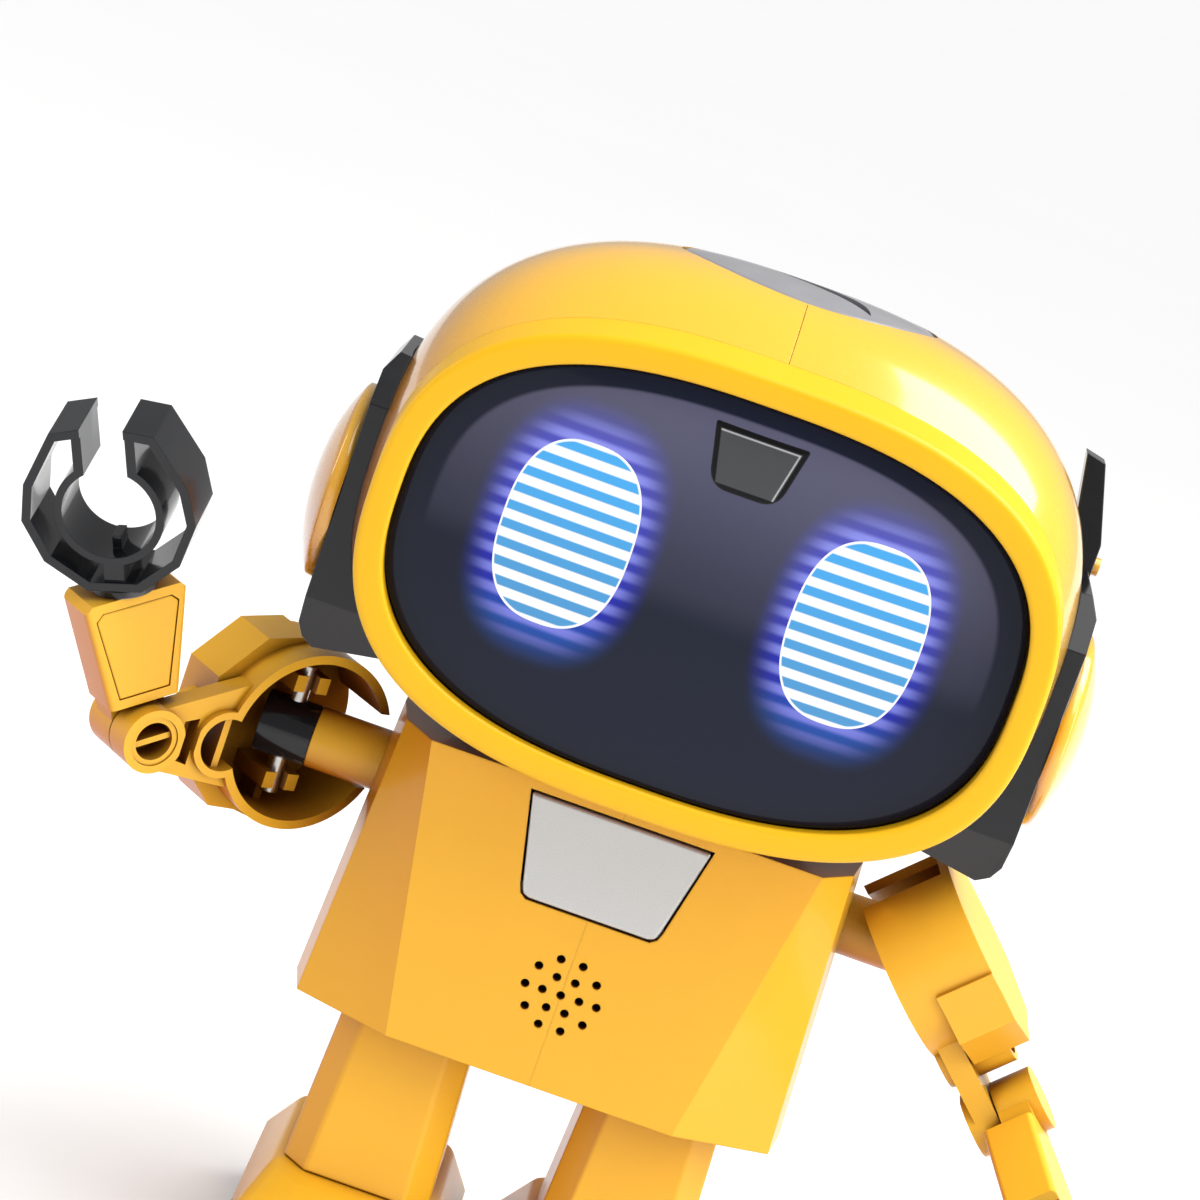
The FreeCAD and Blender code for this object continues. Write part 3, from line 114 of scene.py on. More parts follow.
class ToyFinishes(bpy.types.PropertyGroup):
    """Colours of the robot's materials."""
    shell: colour("Shell yellow", "Glossy moulded shells", (0.95, 0.50, 0.022))
    # Painted shade: colour that shells, body and limbs take on sides turned from the light, and a
    # darker copy of it in corners and recesses.
    shell_painted_shade: colour("Shell painted shade", "Painted shade of the shells on sides turned from the light and in corners", (0.40, 0.085, 0.002))
    body: colour("Body yellow", "Torso, legs and feet", (0.95, 0.50, 0.024))
    ring: colour("Ring yellow", "Face ring", (0.93, 0.50, 0.006))
    limb: colour("Limb yellow", "Arms and stubs", (0.95, 0.52, 0.035))
    visor: colour("Visor navy", "Tinted face window", (0.006, 0.009, 0.024))
    # Painted reflection: the lighter colour the window takes towards its top.
    visor_painted_sky: colour("Visor painted sky", "Painted sky reflection on the upper part of the window", (0.105, 0.105, 0.175))
    eye_blue: colour("Eye blue", "Blue lines of the eyes", (0.004, 0.33, 0.74))
    eye_white: colour("Eye white", "White lines of the eyes", (1.0, 1.0, 0.97))
    halo: colour("Halo blue", "Glow round the eyes", (0.006, 0.010, 0.40))
    black: colour("Gloss black", "Brackets, barrels and claws", (0.008, 0.009, 0.012))
    panel: colour("Panel grey", "Touch panel", (0.26, 0.26, 0.28))
    silver: colour("Plate silver", "Chest plate", (0.52, 0.52, 0.51))
    steel: colour("Steel", "Pins and screws", (0.56, 0.55, 0.52))
    rubber: colour("Rubber", "Tyres", (0.018, 0.018, 0.019))
    board: colour("Board green", "Circuit boards", (0.012, 0.12, 0.05))


class ToyStudio(bpy.types.PropertyGroup):
    """Camera and light."""
    distance: length("Camera distance", "From the face ring's middle", 600 * MM)
    frame_width: length("Frame width", "Width seen at the face ring", 178.5 * MM)
    elevation: FloatProperty(name="Elevation", description="Camera height angle",
                             default=math.radians(13), subtype="ANGLE")
    roll: FloatProperty(name="Roll", description="How far the robot leans in the frame",
                        default=math.radians(19.4), subtype="ANGLE")
    aside: length("Aside", "How far right of the middle the face stands", 15.6 * MM)
    floor: colour("Floor", "Plain pale floor", (0.93, 0.93, 0.93))


def looks():
    """Sizes of the head's remade pieces."""
    return bpy.context.scene.toy_head_looks


def finishes():
    """Colours of the robot's materials."""
    return bpy.context.scene.toy_finishes


# ------------------------------------------------------------------ shader building

class Term:
    """A shader socket that takes part in arithmetic."""

    def __init__(self, shader, socket):
        self.shader = shader
        self.socket = socket

    def math(self, operation, *others):
        return self.shader.math(operation, self, *others)

    def __add__(self, other):
        return self.math("ADD", other)

    def __radd__(self, other):
        return self.math("ADD", other)

    def __sub__(self, other):
        return self.math("SUBTRACT", other)

    def __rsub__(self, other):
        return self.shader.math("SUBTRACT", other, self)

    def __mul__(self, other):
        return self.math("MULTIPLY", other)

    def __rmul__(self, other):
        return self.math("MULTIPLY", other)

    def __truediv__(self, other):
        return self.math("DIVIDE", other)

    def __pow__(self, other):
        return self.math("POWER", other)

    def __abs__(self):
        return self.math("ABSOLUTE")


class Shader:
    """A material's node tree with one method that adds any node."""

    def __init__(self, name):
        self.material = bpy.data.materials.new(name)
        self.material.use_nodes = True
        self.tree = self.material.node_tree
        self.tree.nodes.clear()

    def node(self, kind, settings=None, inputs=None):
        node = self.tree.nodes.new(kind)
        for key, value in (settings or {}).items():
            setattr(node, key, value)
        for key, value in (inputs or {}).items():
            self.feed(node.inputs[key], value)
        return node

    def feed(self, socket, value):
        if isinstance(value, Term):
            self.tree.links.new(value.socket, socket)
        elif socket.type == "RGBA" and len(value) == 3:
            socket.default_value = (*value, 1)
        else:
            socket.default_value = value

    def term(self, node, output=0):
        return Term(self, node.outputs[output])

    def math(self, operation, *values, clamp=False):
        settings = {"operation": operation, "use_clamp": clamp}
        return self.term(self.node("ShaderNodeMath", settings, dict(enumerate(values))))

    def mix(self, amount, first, second):
        """Mix two colours."""
        return self.term(self.node("ShaderNodeMix", {"data_type": "RGBA"},
                                   {0: amount, 6: first, 7: second}), 2)

    def ramp(self, amount, low, high):
        """0 below low, 1 above high, smooth between."""
        return self.term(self.node("ShaderNodeMapRange", {"interpolation_type": "SMOOTHSTEP"},
                                   {0: amount, 1: low, 2: high}))

    def place(self):
        """Object position of the shaded point, as X, Y and Z terms."""
        spot = self.term(self.node("ShaderNodeTexCoord"), "Object")
        split = self.node("ShaderNodeSeparateXYZ", None, {0: spot})
        return [self.term(split, axis) for axis in range(3)]

    def facing(self, direction):
        """How far the surface faces a direction of the object, from -1 to 1."""
        normal = self.term(self.node("ShaderNodeTexCoord"), "Normal")
        return self.term(self.node("ShaderNodeVectorMath", {"operation": "DOT_PRODUCT"},
                                   {0: normal, 1: Vector(direction).normalized()}), "Value")

    def noise(self, size, detail=2.0, stretch=(1, 1, 1)):
        """Noise with features of a size in metres."""
        spot = self.term(self.node("ShaderNodeTexCoord"), "Object")
        spot = self.term(self.node("ShaderNodeVectorMath", {"operation": "MULTIPLY"},
                                   {0: spot, 1: [part / size for part in stretch]}))
        return self.term(self.node("ShaderNodeTexNoise", None,
                                   {"Vector": spot, "Scale": 1.0, "Detail": detail}))

    def shelter(self, reach):
        """1 in the open, 0 in corners."""
        return self.term(self.node("ShaderNodeAmbientOcclusion", {"samples": 6},
                                   {"Distance": reach}), "AO")

    def normal(self, height, depth, edge):
        """Rounded edges with a fine surface height on top."""
        bump = self.node("ShaderNodeBump", None, {"Height": height, "Distance": depth,
                                                  "Strength": 1.0})
        if edge:
            rounded = self.term(self.node("ShaderNodeBevel", {"samples": 4}, {"Radius": edge}))
            self.feed(bump.inputs["Normal"], rounded)
        return self.term(bump)

    def finish(self, **inputs):
        """Principled surface from named inputs, with underscores for spaces."""
        surface = self.node("ShaderNodeBsdfPrincipled", None, {
            key.replace("_", " "): value for key, value in inputs.items()})
        output = self.node("ShaderNodeOutputMaterial")
        self.tree.links.new(surface.outputs[0], output.inputs[0])
        return self.material


def tint(base, factor):
    """A colour made lighter or darker."""
    return tuple(min(1.0, part * factor) for part in base)


def moulded(name, base, shade, roughness, coat, specular, edge):
    """Injection-moulded plastic: painted shade on sides turned from the light and in corners, faint
    flow marks, fine grain.
    """
    shader = Shader(name)
    flow = shader.noise(14 * MM, 3.0, (1, 1, 0.35))
    wear = shader.noise(2.2 * MM, 4.0)
    # Painted shade: ambient occlusion darkens corners and recesses, and sides turned away from a
    # light above and in front take the shade colour.
    painted_corner_light = shader.ramp(shader.shelter(14 * MM), 0.05, 0.85)
    painted_lit_side = shader.ramp(shader.facing((0.45, -0.35, 0.8)), -0.85, 0.75)
    body = shader.mix(flow, tint(base, 0.97), tint(base, 1.03))
    # Painted shade on sides turned from the light, then a darker painted shade in corners.
    body = shader.mix(painted_lit_side, shade, body)
    body = shader.mix(painted_corner_light, tint(shade, 0.3), body)
    gloss = roughness + 0.03 * (flow - 0.5) + 0.02 * wear
    height = shader.noise(0.35 * MM, 2.0)
    return shader.finish(Base_Color=body, Roughness=gloss, Coat_Weight=coat, Coat_Roughness=0.10,
                         Coat_IOR=1.6, IOR=1.5, Specular_IOR_Level=specular,
                         Normal=shader.normal(height, 0.006 * MM, edge))


def shell_plastic():
    return moulded("shell_plastic", finishes().shell, finishes().shell_painted_shade, 0.26, 1.0, 0.5,
                   0.25 * MM)


def body_plastic():
    return moulded("body_plastic", finishes().body, finishes().shell_painted_shade, 0.34, 0.18, 0.25,
                   0.5 * MM)


def limb_plastic():
    return moulded("limb_plastic", finishes().limb, finishes().shell_painted_shade, 0.34, 0.12, 0.25, 0)


def ring_plastic():
    # Painted shade: a darker copy of the ring yellow on sides turned from the light, and darker
    # still in corners.
    return moulded("ring_plastic", finishes().ring, tint(finishes().ring, 0.7), 0.4, 0.1, 0.25,
                   0.2 * MM)


def gloss_black():
    """Polished black moulding with hairline wipe marks and painted highlights on faces turned down
    and sideways.
    """
    shader = Shader("gloss_black")
    wipe = shader.noise(5 * MM, 5.0, (0.25, 1, 3))
    dust = shader.noise(0.6 * MM, 2.0)
    highlight_patchiness = shader.ramp(shader.noise(11 * MM, 1.0, (1, 1, 0.5)), 0.42, 0.66)
    # Painted highlights: faces turned down and to +x, and more weakly faces turned down and to -x,
    # go light grey in noisy patches.
    right = shader.ramp(shader.facing((0.8, -0.25, -0.5)), 0.5, 0.97)
    left = shader.ramp(shader.facing((-0.7, -0.25, -0.65)), 0.6, 1.0)
    shine = shader.math("MAXIMUM", right, left * 0.7) * (0.25 + 0.75 * highlight_patchiness)
    body = shader.mix(wipe, tint(finishes().black, 0.6), tint(finishes().black, 1.2))
    # Painted highlight mixed into the base colour.
    body = shader.mix(shine, body, (0.62, 0.64, 0.66))
    gloss = 0.10 + 0.06 * wipe + 0.03 * dust
    return shader.finish(Base_Color=body, Roughness=gloss, Coat_Weight=0.2, Coat_Roughness=0.04,
                         Specular_IOR_Level=0.3, Normal=shader.normal(wipe, 0.002 * MM, 0.3 * MM))


def dull_black():
    """Textured dark plastic of soles and motor cases."""
    shader = Shader("dull_black")
    pits = shader.noise(0.5 * MM, 3.0)
    body = shader.mix(pits, (0.018, 0.018, 0.02), (0.035, 0.035, 0.038))
    return shader.finish(Base_Color=body, Roughness=0.5 + 0.2 * pits,
                         Normal=shader.normal(pits, 0.03 * MM, 0.35 * MM))


def panel_grey():
    """Satin grey touch panel with very fine spark texture and near-black painted shade in its slot
    and corners.
    """
    shader = Shader("panel_grey")
    spark = shader.noise(0.25 * MM, 2.0)
    cloud = shader.noise(9 * MM, 2.0)
    body = shader.mix(cloud, tint(finishes().panel, 0.85), tint(finishes().panel, 1.15))
    # Painted shade: near black in corners and down in the slot, from ambient occlusion.
    body = shader.mix(shader.ramp(shader.shelter(3 * MM), 0.25, 0.8), (0.006, 0.006, 0.007), body)
    return shader.finish(Base_Color=body, Roughness=0.28 + 0.08 * spark, Coat_Weight=0.3,
                         Normal=shader.normal(spark, 0.006 * MM, 0.15 * MM))


def silver_paint():
    """Metallic paint with flake sparkle."""
    shader = Shader("silver_paint")
    flake = shader.noise(0.18 * MM, 1.0)
    haze = shader.noise(7 * MM, 2.0)
    body = shader.mix(flake, tint(finishes().silver, 0.8), tint(finishes().silver, 1.2))
    return shader.finish(Base_Color=body, Metallic=0.55, Roughness=0.30 + 0.1 * haze,
                         Coat_Weight=0.25, Normal=shader.normal(flake, 0.004 * MM, 0.3 * MM))


def turned_steel():
    """Bright steel with turning lines round it."""
    shader = Shader("turned_steel")
    lines = shader.noise(0.12 * MM, 2.0, (1, 1, 6))
    stain = shader.noise(2 * MM, 3.0)
    body = shader.mix(stain, tint(finishes().steel, 0.75), finishes().steel)
    return shader.finish(Base_Color=body, Metallic=1.0, Roughness=0.2 + 0.15 * lines,
                         Normal=shader.normal(lines, 0.004 * MM, 0.2 * MM))


def tyre_rubber():
    """Soft rubber with dust in its pores."""
    shader = Shader("tyre_rubber")
    pores = shader.noise(0.3 * MM, 3.0)
    dust = shader.ramp(shader.noise(3 * MM, 4.0), 0.5, 0.8)
    body = shader.mix(dust * 0.5, finishes().rubber, (0.06, 0.057, 0.052))
    return shader.finish(Base_Color=body, Roughness=0.72 + 0.12 * pores,
                         Normal=shader.normal(pores, 0.02 * MM, 0.3 * MM))


def circuit_green():
    """Solder mask with faint copper tracks under it."""
    shader = Shader("circuit_green")
    across, _, up = shader.place()
    tracks = shader.ramp(shader.math("PINGPONG", across + up, 0.9 * MM) / MM, 0.55, 0.65)
    field = shader.ramp(shader.noise(5 * MM, 1.0), 0.45, 0.55)
    body = shader.mix(tracks * field, finishes().board, tint(finishes().board, 2.2))
    return shader.finish(Base_Color=body, Roughness=0.35,
                         Normal=shader.normal(tracks * field, 0.02 * MM, 0.1 * MM))


def cell_wrap():
    """Printed sleeve of a battery cell, dark with a bright band and no lettering."""
    shader = Shader("cell_wrap")
    across, _, _ = shader.place()
    band = shader.ramp(across / MM, 9.0, 9.3)
    scuff = shader.noise(1.5 * MM, 4.0)
    body = shader.mix(band, (0.02, 0.06, 0.12), (0.5, 0.34, 0.09))
    return shader.finish(Base_Color=body, Metallic=0.3, Roughness=0.25 + 0.15 * scuff,
                         Normal=shader.normal(scuff, 0.01 * MM, 0.3 * MM))


def eye_distance(shader, across, up, side):
    """Oval distance from an eye's middle: 1 on the eye's edge."""
    low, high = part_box("eye_" + side)
    power = looks().eye_power
    far_x = abs((across - (low.x + high.x) / 2) / ((high.x - low.x) / 2))
    far_z = abs((up - (low.z + high.z) / 2) / ((high.z - low.z) / 2))
    return (far_x ** power + far_z ** power) ** (1 / power)


def eye_lines(shader, up, soft):
    """Level stripes across an eye, 1 on the white lines."""
    low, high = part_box("eye_left")
    pitch = (high.z - low.z) / looks().eye_stripes
    wave = shader.math("PINGPONG", up - low.z, pitch / 2) / (pitch / 2)
    return 1 - shader.ramp(wave, 0.5 - soft, 0.5 + soft)


def lit_eye():
    """Display light: white and blue lines with a thin white edge."""
    shader = Shader("lit_eye")
    across, _, up = shader.place()
    lines = eye_lines(shader, up, 0.09)
    nearest = shader.math("MINIMUM", eye_distance(shader, across, up, "left"),
                          eye_distance(shader, across, up, "right"))
    edge = shader.ramp(nearest, 0.965, 0.98)
    low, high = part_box("eye_left")
    rise = shader.ramp(up, low.z, high.z)
    blue = shader.mix(rise, tint(finishes().eye_blue, 0.8), tint(finishes().eye_blue, 1.15))
    lit = shader.mix(lines, blue, finishes().eye_white)
    lit = shader.mix(edge, lit, finishes().eye_white)
    return shader.finish(Base_Color=(0.01, 0.02, 0.04), Roughness=0.08, Coat_Weight=1.0,
                         Coat_Roughness=0.03, Emission_Color=lit, Emission_Strength=1.0)


def visor_window():
    """Deep tinted window with a painted sky reflection towards its top and a painted striped glow
    round each eye.
    """
    shader = Shader("visor_window")
    across, _, up = shader.place()
    # Painted glow: the eyes' light spread over the window as emission round each eye, striped like
    # the eyes.
    nearest = shader.math("MINIMUM", eye_distance(shader, across, up, "left"),
                          eye_distance(shader, across, up, "right"))
    reach = looks().halo_reach
    glow = 1 - shader.ramp(nearest, 0.98, 1 + reach)
    lines = eye_lines(shader, up, 0.3)
    # Painted reflection: lighter towards the top of the window, above a horizon just under its
    # middle, and cut off just inside its rim.
    tall = VISOR_HIGH.z - VISOR_LOW.z
    horizon = VISOR_LOW.z + 0.42 * tall
    painted_reflection = shader.ramp(up, horizon, horizon + 0.1 * tall) * 0.18
    painted_reflection = painted_reflection + shader.ramp(up, horizon, VISOR_HIGH.z) * 0.82
    half_w = (VISOR_HIGH.x - VISOR_LOW.x) / 2
    power = looks().oval_power
    rim = (abs(across / half_w) ** power + abs((up - HEAD_Z) / (tall / 2)) ** power)
    painted_reflection = painted_reflection * (1 - shader.ramp(rim ** (1 / power), 0.895, 0.915))
    cloud = shader.noise(30 * MM, 1.0)
    smudge = shader.ramp(shader.noise(6 * MM, 4.0), 0.5, 0.9)
    # Base colour with the painted sky reflection.
    body = shader.mix(painted_reflection * (0.85 + 0.15 * cloud), finishes().visor, finishes().visor_painted_sky)
    low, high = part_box("eye_left")
    below = 1 - shader.ramp(up, low.z - 1.5 * MM, low.z + 5 * MM)
    halo = shader.mix(below, finishes().halo, (0.006, 0.075, 0.42))
    halo = shader.mix(lines * glow, halo, (0.20, 0.22, 0.75))
    halo = shader.mix(glow, (0, 0, 0), halo)
    return shader.finish(Base_Color=body, Roughness=0.09 + 0.05 * smudge,
                         Specular_IOR_Level=0.16, Coat_Weight=0.12, Coat_Roughness=0.02,
                         Emission_Color=halo, Emission_Strength=1.0)


def sensor_glass():
    """Near-black filter window with a dark border and a painted highlight along its top and right
    edges.
    """
    shader = Shader("sensor_glass")
    low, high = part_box("sensor_window")
    across, _, up = shader.place()
    middle = (low.x + high.x) / 2
    half = (high.x - low.x) / 2
    slant = half - (high.z - up) * 0.22
    inside = slant - abs(across - middle)
    top = high.z - up
    base = up - low.z
    border = shader.math("MINIMUM", inside, shader.math("MINIMUM", top, base))
    clear = shader.ramp(border / MM, 0.75, 0.95)
    # Painted highlight: a light grey line just inside the top and right edges of the window.
    right_edge = slant - (across - middle)
    lip = shader.math("MINIMUM", right_edge, top) / MM
    painted_edge_highlight = shader.ramp(lip, 0.95, 1.05) * (1 - shader.ramp(lip, 1.1, 1.35)) * clear
    haze = shader.noise(4 * MM, 2.0)
    body = shader.mix(clear, (0.003, 0.003, 0.004), (0.062, 0.066, 0.07))
    body = shader.mix(painted_edge_highlight, body, (0.45, 0.45, 0.46))
    return shader.finish(Base_Color=body, Roughness=0.22 + 0.08 * haze,
                         Specular_IOR_Level=0.2,
                         Normal=shader.normal(clear, 0.12 * MM, 0.2 * MM))


MAKERS = {
    "shell": shell_plastic, "body": body_plastic, "limb": limb_plastic, "ring": ring_plastic,
    "black": gloss_black, "dull": dull_black, "panel": panel_grey, "silver": silver_paint,
    "steel": turned_steel, "rubber": tyre_rubber, "board": circuit_green, "cell": cell_wrap,
    "eye": lit_eye, "visor": visor_window, "sensor": sensor_glass,
}
made_materials = {}


def material(name):
    """The named material, made when it is first asked for."""
    if name not in made_materials:
        made_materials[name] = MAKERS[name]()
    return made_materials[name]


# ------------------------------------------------------------------ mesh building

def add_piece(name, mesh, body, finish, slot, *nodes):
    """Put a finished mesh in the scene as a piece that stands for CAD nodes."""
    obj = bpy.data.objects.new(name, mesh)
    bpy.context.scene.collection.objects.link(obj)
    mesh.materials.append(material(finish))
    for polygon in mesh.polygons:
        polygon.use_smooth = True
    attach(obj, body)
    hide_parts(*nodes)
    return obj


def apply_modifiers(obj):
    """Bake an object's modifiers into its mesh."""
    bpy.context.view_layer.update()
    graph = bpy.context.evaluated_depsgraph_get()
    finished = bpy.data.meshes.new_from_object(obj.evaluated_get(graph))
    obj.modifiers.clear()
    obj.data = finished


def grid_mesh(name, rows, closed_rows=False, capped=False):
    """Mesh from rows of points. Closed rows join end to end, and caps fill both end rows."""
    build = bmesh.new()
    grid = [[build.verts.new(spot) for spot in row] for row in rows]
    count = len(grid[0])
    for near, far in zip(grid, grid[1:]):
        for k in range(count if closed_rows else count - 1):
            step = (k + 1) % count
            build.faces.new((near[k], near[step], far[step], far[k]))
    if capped:
        build.faces.new(grid[0])
        build.faces.new(grid[-1])
    bmesh.ops.remove_doubles(build, verts=build.verts, dist=1e-7)
    bmesh.ops.recalc_face_normals(build, faces=build.faces)
    mesh = bpy.data.meshes.new(name)
    build.to_mesh(mesh)
    build.free()
    return mesh


def squared(turn, power):
    """Point of the unit oval at an angle, as across and up."""
    across = math.copysign(abs(math.cos(turn)) ** (2 / power), math.cos(turn))
    up = math.copysign(abs(math.sin(turn)) ** (2 / power), math.sin(turn))
    return across, up


def even_turns(count, power, half_w, half_tall, start=0.0, sweep=2 * math.pi):
    """Angles that space points evenly along an oval."""
    fine = 2000
    turns = [start + sweep * k / fine for k in range(fine + 1)]
    spots = []
    for turn in turns:
        across, up = squared(turn, power)
        spots.append(Vector((across * half_w, up * half_tall)))
    reach = [0.0]
    for first, second in zip(spots, spots[1:]):
        reach.append(reach[-1] + (second - first).length)
    chosen = []
    cursor = 0
    for k in range(count):
        goal = reach[-1] * k / count
        while reach[cursor + 1] < goal:
            cursor += 1
        chosen.append(turns[cursor])
    return chosen + [turns[-1]]


def solid_wall(obj, thickness):
    """Give an open skin a wall on its inner side, with its faces turned outwards first."""
    point_outwards(obj, Vector((0, 0, HEAD_Z)))
    modifier = obj.modifiers.new("wall", "SOLIDIFY")
    modifier.thickness = thickness
    modifier.offset = -1
    modifier.use_even_offset = True
    apply_modifiers(obj)


def carve(obj, name, rows):
    """Cut a closed tool, given as rows of points, out of an object."""
    tool = bpy.data.objects.new(name, grid_mesh(name, rows, True, True))
    bpy.context.scene.collection.objects.link(tool)
    modifier = obj.modifiers.new(name, "BOOLEAN")
    modifier.operation = "DIFFERENCE"
    modifier.solver = "EXACT"
    modifier.object = tool
    apply_modifiers(obj)
    bpy.data.objects.remove(tool)


def smooth_by_angle(obj, degrees):
    """Smooth shading, with edges sharper than an angle kept sharp."""
    obj.data.shade_smooth()
    obj.data.set_sharp_from_angle(angle=math.radians(degrees))


def refined(node, finish, slot, bevel=0.0):
    """Piece from a CAD node's mesh: welded, and with rounded edges where a bevel is given."""
    source = frame["nodes"][node]
    build = bmesh.new()
    build.from_mesh(source.data)
    bmesh.ops.remove_doubles(build, verts=build.verts, dist=0.004 * MM)
    if bevel:
        bmesh.ops.dissolve_limit(build, angle_limit=math.radians(0.5), verts=build.verts,
                                 edges=build.edges)
    mesh = bpy.data.meshes.new("body_" + node)
    build.to_mesh(mesh)
    build.free()
    imported = mesh.attributes.get("custom_normal")
    if imported:
        mesh.attributes.remove(imported)
    obj = add_piece("look_" + node, mesh, source["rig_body"], finish, slot, node)
    if bevel:
        modifier = obj.modifiers.new("edges", "BEVEL")
        modifier.width = bevel
        modifier.segments = 3
        modifier.limit_method = "ANGLE"
        modifier.angle_limit = math.radians(32)
        modifier.use_clamp_overlap = True
        modifier.miter_outer = "MITER_ARC"
        modifier.harden_normals = True
        shading = obj.modifiers.new("shading", "WEIGHTED_NORMAL")
        shading.keep_sharp = True
    smooth_by_angle(obj, 28)


def revolved(name, centre, axis, profile, around, body, finish, slot, *nodes):
    """Piece turned about an axis along X, from (radius, distance along the axis) points."""
    rows = []
    for radius, reach in profile:
        row = []
        for k in range(around):
            turn = 2 * math.pi * k / around
            row.append(Vector((centre.x + axis * reach, centre.y + radius * math.cos(turn),
                               centre.z + radius * math.sin(turn))))
        rows.append(row)
    return add_piece(name, grid_mesh(name, rows, True), body, finish, slot, *nodes)


def rounded_corner(start, corner, end, radius, steps):
    """Points of a round corner between two straight profile runs."""
    corner = Vector(corner)
    near = corner + (Vector(start) - corner).normalized() * radius
    far = corner + (Vector(end) - corner).normalized() * radius
    return [((1 - t) ** 2) * near + 2 * t * (1 - t) * corner + (t ** 2) * far
            for t in (k / steps for k in range(steps + 1))]


def rounded_profile(points, radii, steps=5):
    """Closed profile with its corners rounded."""
    profile = []
    for k, corner in enumerate(points):
        if radii[k] > 0:
            profile += rounded_corner(points[k - 1], corner, points[(k + 1) % len(points)],
                                      radii[k], steps)
        else:
            profile.append(Vector(corner))
    return profile


# ------------------------------------------------------------------ head form

RING_DEEP = RING_HIGH.y - RING_LOW.y
HEAD_TOP = HALF_HEAD_HIGH.z
SHELL_LONG = HALF_HEAD_HIGH.y - FACE_Y - RING_DEEP
BULGE_SIDE = 3.25 * MM
BULGE_TOP = 10.6 * MM
BULGE_BASE = 4.6 * MM
BAND = 4.4 * MM
VISOR_GAP = 0.1 * MM
FLOOR_Z = HALF_HEAD_LOW.z
FRONT_HALF_W = (VISOR_HIGH.x - VISOR_LOW.x) / 2 + BAND + VISOR_GAP
FRONT_HALF_TALL = (VISOR_HIGH.z - VISOR_LOW.z) / 2 + BAND + VISOR_GAP
PANEL_RUN_GAP = 0.12 * MM
NECK_HOLE_RADIUS = 10.3 * MM
VISOR_CURVE = 420 * MM
SENSOR_TAPER = 10.6 / 14.9
CUT_HEIGHTS = (HEAD_Z + 15 * MM, HEAD_TOP + 8 * MM)


def head_ring(depth):
    """Half width, half height upwards and half height downwards of the head at a depth."""
    share = max(0.0, (depth - RING_DEEP) / SHELL_LONG)
    bulge = 1 - 0.85 * max(0.0, 1 - share / 0.4) ** 2.2
    if depth < RING_DEEP:
        bulge = 0.15 * depth / RING_DEEP
    left = max(0.0, 1 - min(share, 1.0) ** 5) ** (1 / 2.6)
    return ((FRONT_HALF_W + bulge * BULGE_SIDE) * left,
            (FRONT_HALF_TALL + bulge * BULGE_TOP) * left,
            (FRONT_HALF_TALL + bulge * BULGE_BASE) * left)


def head_point(turn, depth, inset=0.0):
    """Point on the head's skin from its angle about the face and its depth."""
    half_w, top, base = head_ring(depth)
    across, up = squared(turn, looks().oval_power)
    tall = top if up > 0 else base
    return Vector((max(half_w - inset, 0) * across, FACE_Y + depth,
                   HEAD_Z + max(tall - inset, 0) * up))


def head_top(across, depth):
    """Height of the head's upper skin over a point of its plan."""
    half_w, top, _ = head_ring(depth)
    power = looks().oval_power
    return HEAD_Z + top * max(0.0, 1 - abs(across / half_w) ** power) ** (1 / power)


def make_ring():
    """Face ring with rounded front edges and the visor's ledge."""
    profile = rounded_profile(
        ((0, 0), (BAND, 0), (BAND, 6.8 * MM), (BAND + 1.6 * MM, 7 * MM),
         (BAND + 1.6 * MM, RING_DEEP), (0, RING_DEEP)),
        (1.1 * MM, looks().ring_round, 0, 0, 0, 0), 6)
    turns = even_turns(looks().around * 2, looks().oval_power, FRONT_HALF_W, FRONT_HALF_TALL)[:-1]
    rows = [[head_point(turn, depth, inset) for turn in turns] for inset, depth in profile]
    rows.append(rows[0])
    obj = add_piece("face_ring_look", grid_mesh("face_ring_look", rows, True), "head", "ring",
                    "ring_yellow", "face_ring")
    smooth_by_angle(obj, 40)


def shell_depths():
    """Depths of the shell's rows, closer together at the round back."""
    steps = looks().along
    return [RING_DEEP + SHELL_LONG * (1 - (1 - k / steps) ** 2.4) for k in range(steps + 1)]


def make_head_shells():
    """Two glossy half shells with walls, the neck hole and the touch panel's opening."""
    neck_low, neck_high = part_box("neck_collar")
    panel_low, panel_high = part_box("touch_panel")
    for side, way in SIDES:
        turns = even_turns(looks().around, looks().oval_power, FRONT_HALF_W + BULGE_SIDE,
                           FRONT_HALF_TALL + BULGE_TOP, -math.pi / 2, math.pi)
        rows = []
        for depth in shell_depths():
            row = []
            for turn in turns:
                spot = head_point(turn, depth)
                row.append(Vector((way * max(spot.x, looks().seam), spot.y,
                                   max(spot.z, FLOOR_Z))))
            rows.append(row)
        name = "head_shell_look_" + side
        obj = add_piece(name, grid_mesh(name, rows), "head", "shell", "yellow_shell",
                        "head_shell_" + side)
        solid_wall(obj, looks().shell_thick)
        carve(obj, "neck_tool_" + side, post_rows(
            (neck_low + neck_high) / 2, NECK_HOLE_RADIUS, NECK_HOLE_RADIUS, FLOOR_Z - 5 * MM,
            FLOOR_Z + 8 * MM, 64))
        carve(obj, "panel_tool_" + side, post_rows(
            (panel_low + panel_high) / 2, (panel_high.x - panel_low.x) / 2 + PANEL_RUN_GAP,
            (panel_high.y - panel_low.y) / 2 + PANEL_RUN_GAP, *CUT_HEIGHTS, 96))
        smooth_by_angle(obj, 35)


def point_outwards(obj, middle):
    """Turn a skin's faces away from a point inside it."""
    build = bmesh.new()
    build.from_mesh(obj.data)
    total = sum((face.calc_center_median() - middle).dot(face.normal) for face in build.faces)
    if total < 0:
        bmesh.ops.reverse_faces(build, faces=build.faces)
    build.to_mesh(obj.data)
    build.free()


